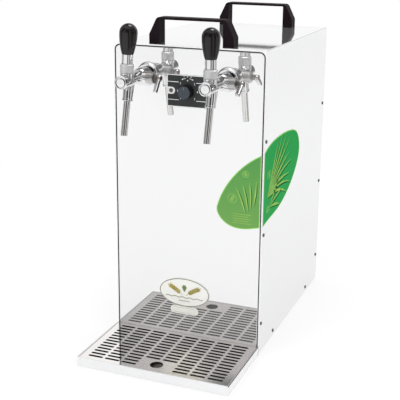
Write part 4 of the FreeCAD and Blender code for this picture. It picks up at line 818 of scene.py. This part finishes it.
def badge_motif():
    """Olive rim, two barley ears that lean outwards, a hop cone between them and a wavy line."""
    low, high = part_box("badge")
    cx, cz = (low.x + high.x) / 2 / MM, (low.z + high.z) / 2 / MM
    a, b = (high.x - low.x) / 2 / MM, (high.z - low.z) / 2 / MM
    place = on_panel(low.y)
    rim = Flat(place)
    rim.ribbon(oval(cx, cz, a - 0.3, b - 0.3), oval(cx, cz, a - 1.5, b - 1.5), closed=True)
    dark = cloudy("badge_rim", (0.13, 0.13, 0.06), 0.3, spread=0.2)
    rim.piece("badge_rim", dark, "cabinet", "badge_cream")
    gold = cloudy("badge_gold", (0.38, 0.31, 0.04), 0.35, spread=0.25, scale=90.0)
    ears = Flat(place)
    for sign in (-1, 1):
        spine = []
        for i in range(15):
            k = i / 14
            spine.append((cx + sign * (3.5 + 23 * k), cz - 5.5 + 19.0 * k - 4.0 * k * k))
        for i in range(3, 15):
            (u0, v0), (u, v) = spine[i - 1], spine[i]
            lean = math.atan2(v - v0, u - u0)
            if i % 2:
                for hand in (-1, 1):
                    ears.shape(leaf(u, v, 7.0, 2.6, lean + hand * math.radians(42)))
        u, v = spine[-1]
        ears.shape(leaf(u, v, 7.0, 2.2, lean))
        ears.ribbon([(p[0], p[1] + 0.4) for p in spine], [(p[0], p[1] - 0.4) for p in spine])
    ears.piece("badge_ears", gold, "cabinet", "badge_cream")
    line = Flat(place)
    wave = [(cx - 36 + 72 * i / 60, cz - 9.6 + 0.9 * math.sin(i * 2 * math.pi / 12)) for i in range(61)]
    line.ribbon([(u, v + 0.6) for u, v in wave], [(u, v - 0.6) for u, v in wave])
    for k in range(-3, 4):
        line.shape(circle(cx + k * 3.1, cz - 16.4, 1.0, 14))
    olive = cloudy("badge_olive", (0.24, 0.25, 0.13), 0.4, spread=0.2)
    line.piece("badge_line", olive, "cabinet", "badge_cream")
    hop = Flat(place)
    for row in range(4):
        count = (2, 3, 2, 1)[row]
        for k in range(count):
            hop.shape(leaf(cx + (k - (count - 1) / 2) * 3.0, cz + 14.5 - row * 3.0, 4.2, 3.0, -math.pi / 2))
    green = cloudy("badge_green", (0.16, 0.24, 0.05), 0.35, spread=0.2, scale=90.0)
    hop.piece("badge_hop", green, "cabinet", "badge_cream")


def label_marks():
    low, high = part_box("label_strip")
    cx, cz = (low.x + high.x) / 2 / MM, (low.z + high.z) / 2 / MM
    half = (high.x - low.x) / 2 / MM
    ink = cloudy("label_ink", (0.35, 0.34, 0.28), 0.5, spread=0.2)
    flat = Flat(on_panel(low.y))
    left, right = cx - half + 8, cx + half - 8
    for z in (cz + 4.6, cz - 4.6):
        flat.shape([(left, z - 0.2), (right, z - 0.2), (right, z + 0.2), (left, z + 0.2)])
    flat.piece("label_lines", ink, "cabinet", "label_cream")


def outer_loop(node, axis, sign):
    """Border of the node's outer face, as a ring of points in order."""
    obj = NODES[node]
    bm = bmesh.new()
    bm.from_mesh(obj.data)
    bmesh.ops.remove_doubles(bm, verts=bm.verts, dist=1e-6)
    keep = [f for f in bm.faces if f.normal[axis] * sign > 0.9]
    border = {}
    for f in keep:
        for e in f.edges:
            border[e] = border.get(e, 0) + 1
    edges = [e for e, count in border.items() if count == 1]
    links = {}
    for e in edges:
        a, b = e.verts
        links.setdefault(a.index, []).append(b.index)
        links.setdefault(b.index, []).append(a.index)
    bm.verts.ensure_lookup_table()
    first = min(links)
    loop = [first]
    previous = None
    while True:
        options = [i for i in links[loop[-1]] if i != previous]
        if not options or options[0] == first:
            break
        previous = loop[-1]
        loop.append(options[0])
        if len(loop) > len(links):
            break
    points = [bm.verts[i].co.copy() for i in loop]
    bm.free()
    return points


def inset(points, distance):
    """The closed outline of (u, v) points moved inwards."""
    n = len(points)
    area = sum(a[0] * b[1] - b[0] * a[1] for a, b in zip(points, points[1:] + points[:1]))
    sign = 1 if area > 0 else -1
    result = []
    for i in range(n):
        (x0, y0), (x1, y1), (x2, y2) = points[i - 1], points[i], points[(i + 1) % n]
        ax, ay = x1 - x0, y1 - y0
        bx, by = x2 - x1, y2 - y1
        la, lb = math.hypot(ax, ay) or 1, math.hypot(bx, by) or 1
        nx, ny = -(ay / la + by / lb), ax / la + bx / lb
        length = math.hypot(nx, ny) or 1
        result.append((x1 + sign * nx / length * distance, y1 + sign * ny / length * distance))
    return result


def within(field, u, v):
    """Whether the point lies inside the closed outline."""
    hit = False
    n = len(field)
    for i in range(n):
        (x0, y0), (x1, y1) = field[i], field[(i + 1) % n]
        if (y0 > v) != (y1 > v) and u < (x1 - x0) * (v - y0) / (y1 - y0) + x0:
            hit = not hit
    return hit


def blade(flat, field, u, v, length, width, angle, curl):
    """Blade of grass from (u, v), bent by curl degrees, that ends in a point inside the border."""
    n = 30
    spine = []
    for i in range(n + 1):
        if not within(field, u, v):
            break
        spine.append((u, v, angle))
        angle += math.radians(curl) / n
        u += length / n * math.cos(angle)
        v += length / n * math.sin(angle)
    last = len(spine) - 1
    if last < 6:
        return
    rows = ([], [])
    for i, (u, v, angle) in enumerate(spine):
        k = i / last
        half = math.sin(math.pi / 2 * k / 0.5) if k < 0.5 else math.cos(math.pi / 2 * (k - 0.5) / 0.5)
        half = width / 2 * half + 0.08
        for row, sign in zip(rows, (1, -1)):
            for share in (1.0, 0.75, 0.5, 0.25, 0.05):
                point = (u - sign * half * share * math.sin(angle), v + sign * half * share * math.cos(angle))
                if within(field, *point):
                    break
            row.append(point)
    flat.ribbon(*rows)


def sprig(flat, field, u, v, size, angle, squeeze=1.0):
    """Small twig with paired leaves inside a ring; squeeze narrows it along u."""
    def squeezed(points):
        return [(u + (p[0] - u) * squeeze, p[1]) for p in points]

    ring = squeezed(circle(u, v, size))
    if not all(within(field, *p) for p in ring):
        return
    flat.ribbon(ring, squeezed(circle(u, v, size - 0.7)), closed=True)
    long, wide, tip = size * 0.55, size * 0.24, size * 0.25
    for k in range(3):
        r = size * (0.55 - 0.4 * k)
        a, b = u - r * math.cos(angle), v - r * math.sin(angle)
        for side in (-1, 1):
            flat.shape(squeezed(leaf(a, b, long, wide, angle + side * math.radians(42))))
    flat.shape(squeezed(leaf(u + tip * math.cos(angle), v + tip * math.sin(angle), long, wide, angle)))


def side_motif(bright, deep, field, extent):
    """Tuft of drooping grass, each blade with its shadow, a low shoot and two sprigs in rings."""
    u0, u1, v0, v1 = extent
    w, h = u1 - u0, v1 - v0
    for count, root_u, root_v, size, first, last, droop in (
            (9, 0.10, 0.34, 1.12, 54, 8, -46), (3, 0.16, 0.20, 0.55, 30, 0, -30)):
        for i in range(count):
            k = i / (count - 1)
            angle = math.radians(first + (last - first) * k)
            u, v = u0 + w * root_u + 2.0 * k, v0 + h * root_v - 3.0 * k
            length = h * size * (1.0 - 0.12 * k) * (1.0 if i % 2 else 0.9)
            bend = 10 + droop * k ** 0.8
            blade(deep, field, u + 2.8, v - 3.2, length, 3.4, angle, bend)
            blade(bright, field, u, v, length, 4.8 - 1.4 * (i % 2), angle, bend)
    sprig(bright, field, u0 + w * 0.13, v0 + h * 0.60, 7.0, math.radians(100), 1.6)
    sprig(bright, field, u0 + w * 0.12, v0 + h * 0.17, 6.0, math.radians(70), 1.6)


def front_motif(bright, deep, field, extent):
    """Two sprigs in rings, a few blades and a block of fine rules."""
    u0, u1, v0, v1 = extent
    w, h = u1 - u0, v1 - v0
    sprig(bright, field, u0 + w * 0.36, v0 + h * 0.40, 8.5, math.radians(60))
    sprig(bright, field, u0 + w * 0.66, v0 + h * 0.74, 6.0, math.radians(120))
    for i in range(4):
        u, v = u0 + w * (0.66 + 0.06 * i), v0 + h * (0.22 + 0.03 * i)
        blade(deep, field, u + 1.6, v, h * 0.33, 1.6, math.radians(102 - 9 * i), 16)
        blade(bright, field, u, v, h * 0.36, 2.2, math.radians(103 - 9 * i), 16)
    for i in range(5):
        v = v0 + h * (0.20 - 0.030 * i)
        a, b = u0 + w * 0.38, u0 + w * (0.80 - 0.06 * (i % 2))
        if all(within(field, *p) for p in ((a, v), (b, v))):
            bar(bright, a, v, b, v, 0.8)


def decal_prints():
    pale = cloudy("decal_edge", (0.30, 0.62, 0.16), 0.35, spread=0.08, Specular_IOR_Level=0.0)
    lime = cloudy("decal_lime", (0.25, 0.46, 0.11), 0.35, spread=0.15, scale=60.0, Specular_IOR_Level=0.0)
    faint = cloudy("decal_faint", (0.30, 0.50, 0.12), 0.35, spread=0.12, scale=60.0, Specular_IOR_Level=0.0)
    dark = cloudy("decal_dark", (0.012, 0.10, 0.03), 0.35, spread=0.2, scale=60.0, Specular_IOR_Level=0.0)
    for node, axis, sign in (("decal_front", 1, -1), ("decal_side", 0, 1)):
        loop = outer_loop(node, axis, sign)
        low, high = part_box(node)
        if axis == 1:
            place = on_panel(low.y)
            points = [(p.x / MM, p.z / MM) for p in loop]
        else:
            place = on_side(high.x)
            points = [(p.y / MM, p.z / MM) for p in loop]
        rim = Flat(place)
        rim.ribbon(points, inset(points, 1.5), closed=True)
        rim.piece(node + "_edge", pale, "cabinet", node)
        field = inset(points, 2.4)
        u0, u1 = min(p[0] for p in points), max(p[0] for p in points)
        v0, v1 = min(p[1] for p in points), max(p[1] for p in points)
        bright, deep = Flat(place, PRINT_LIFT * 2), Flat(place)
        draw = front_motif if axis == 1 else side_motif
        draw(bright, deep, field, (u0, u1, v0, v1))
        bright.piece(node + "_bright", faint if axis == 1 else lime, "cabinet", node)
        deep.piece(node + "_deep", dark, "cabinet", node)


set_camera()
set_world()
set_floor()
area_light("key", (-1.6, -2.2, 2.6), size=1.8, power=36)
area_light("fill", (2.4, -1.6, 1.8), size=2.0, power=22)
area_light("top", (0.2, 0.6, 3.0), size=1.0, power=26, mirrored=True)
set_materials()
plate_print()
dial_pointer()
badge_motif()
label_marks()
decal_prints()

scene.view_settings.view_transform = "Standard"
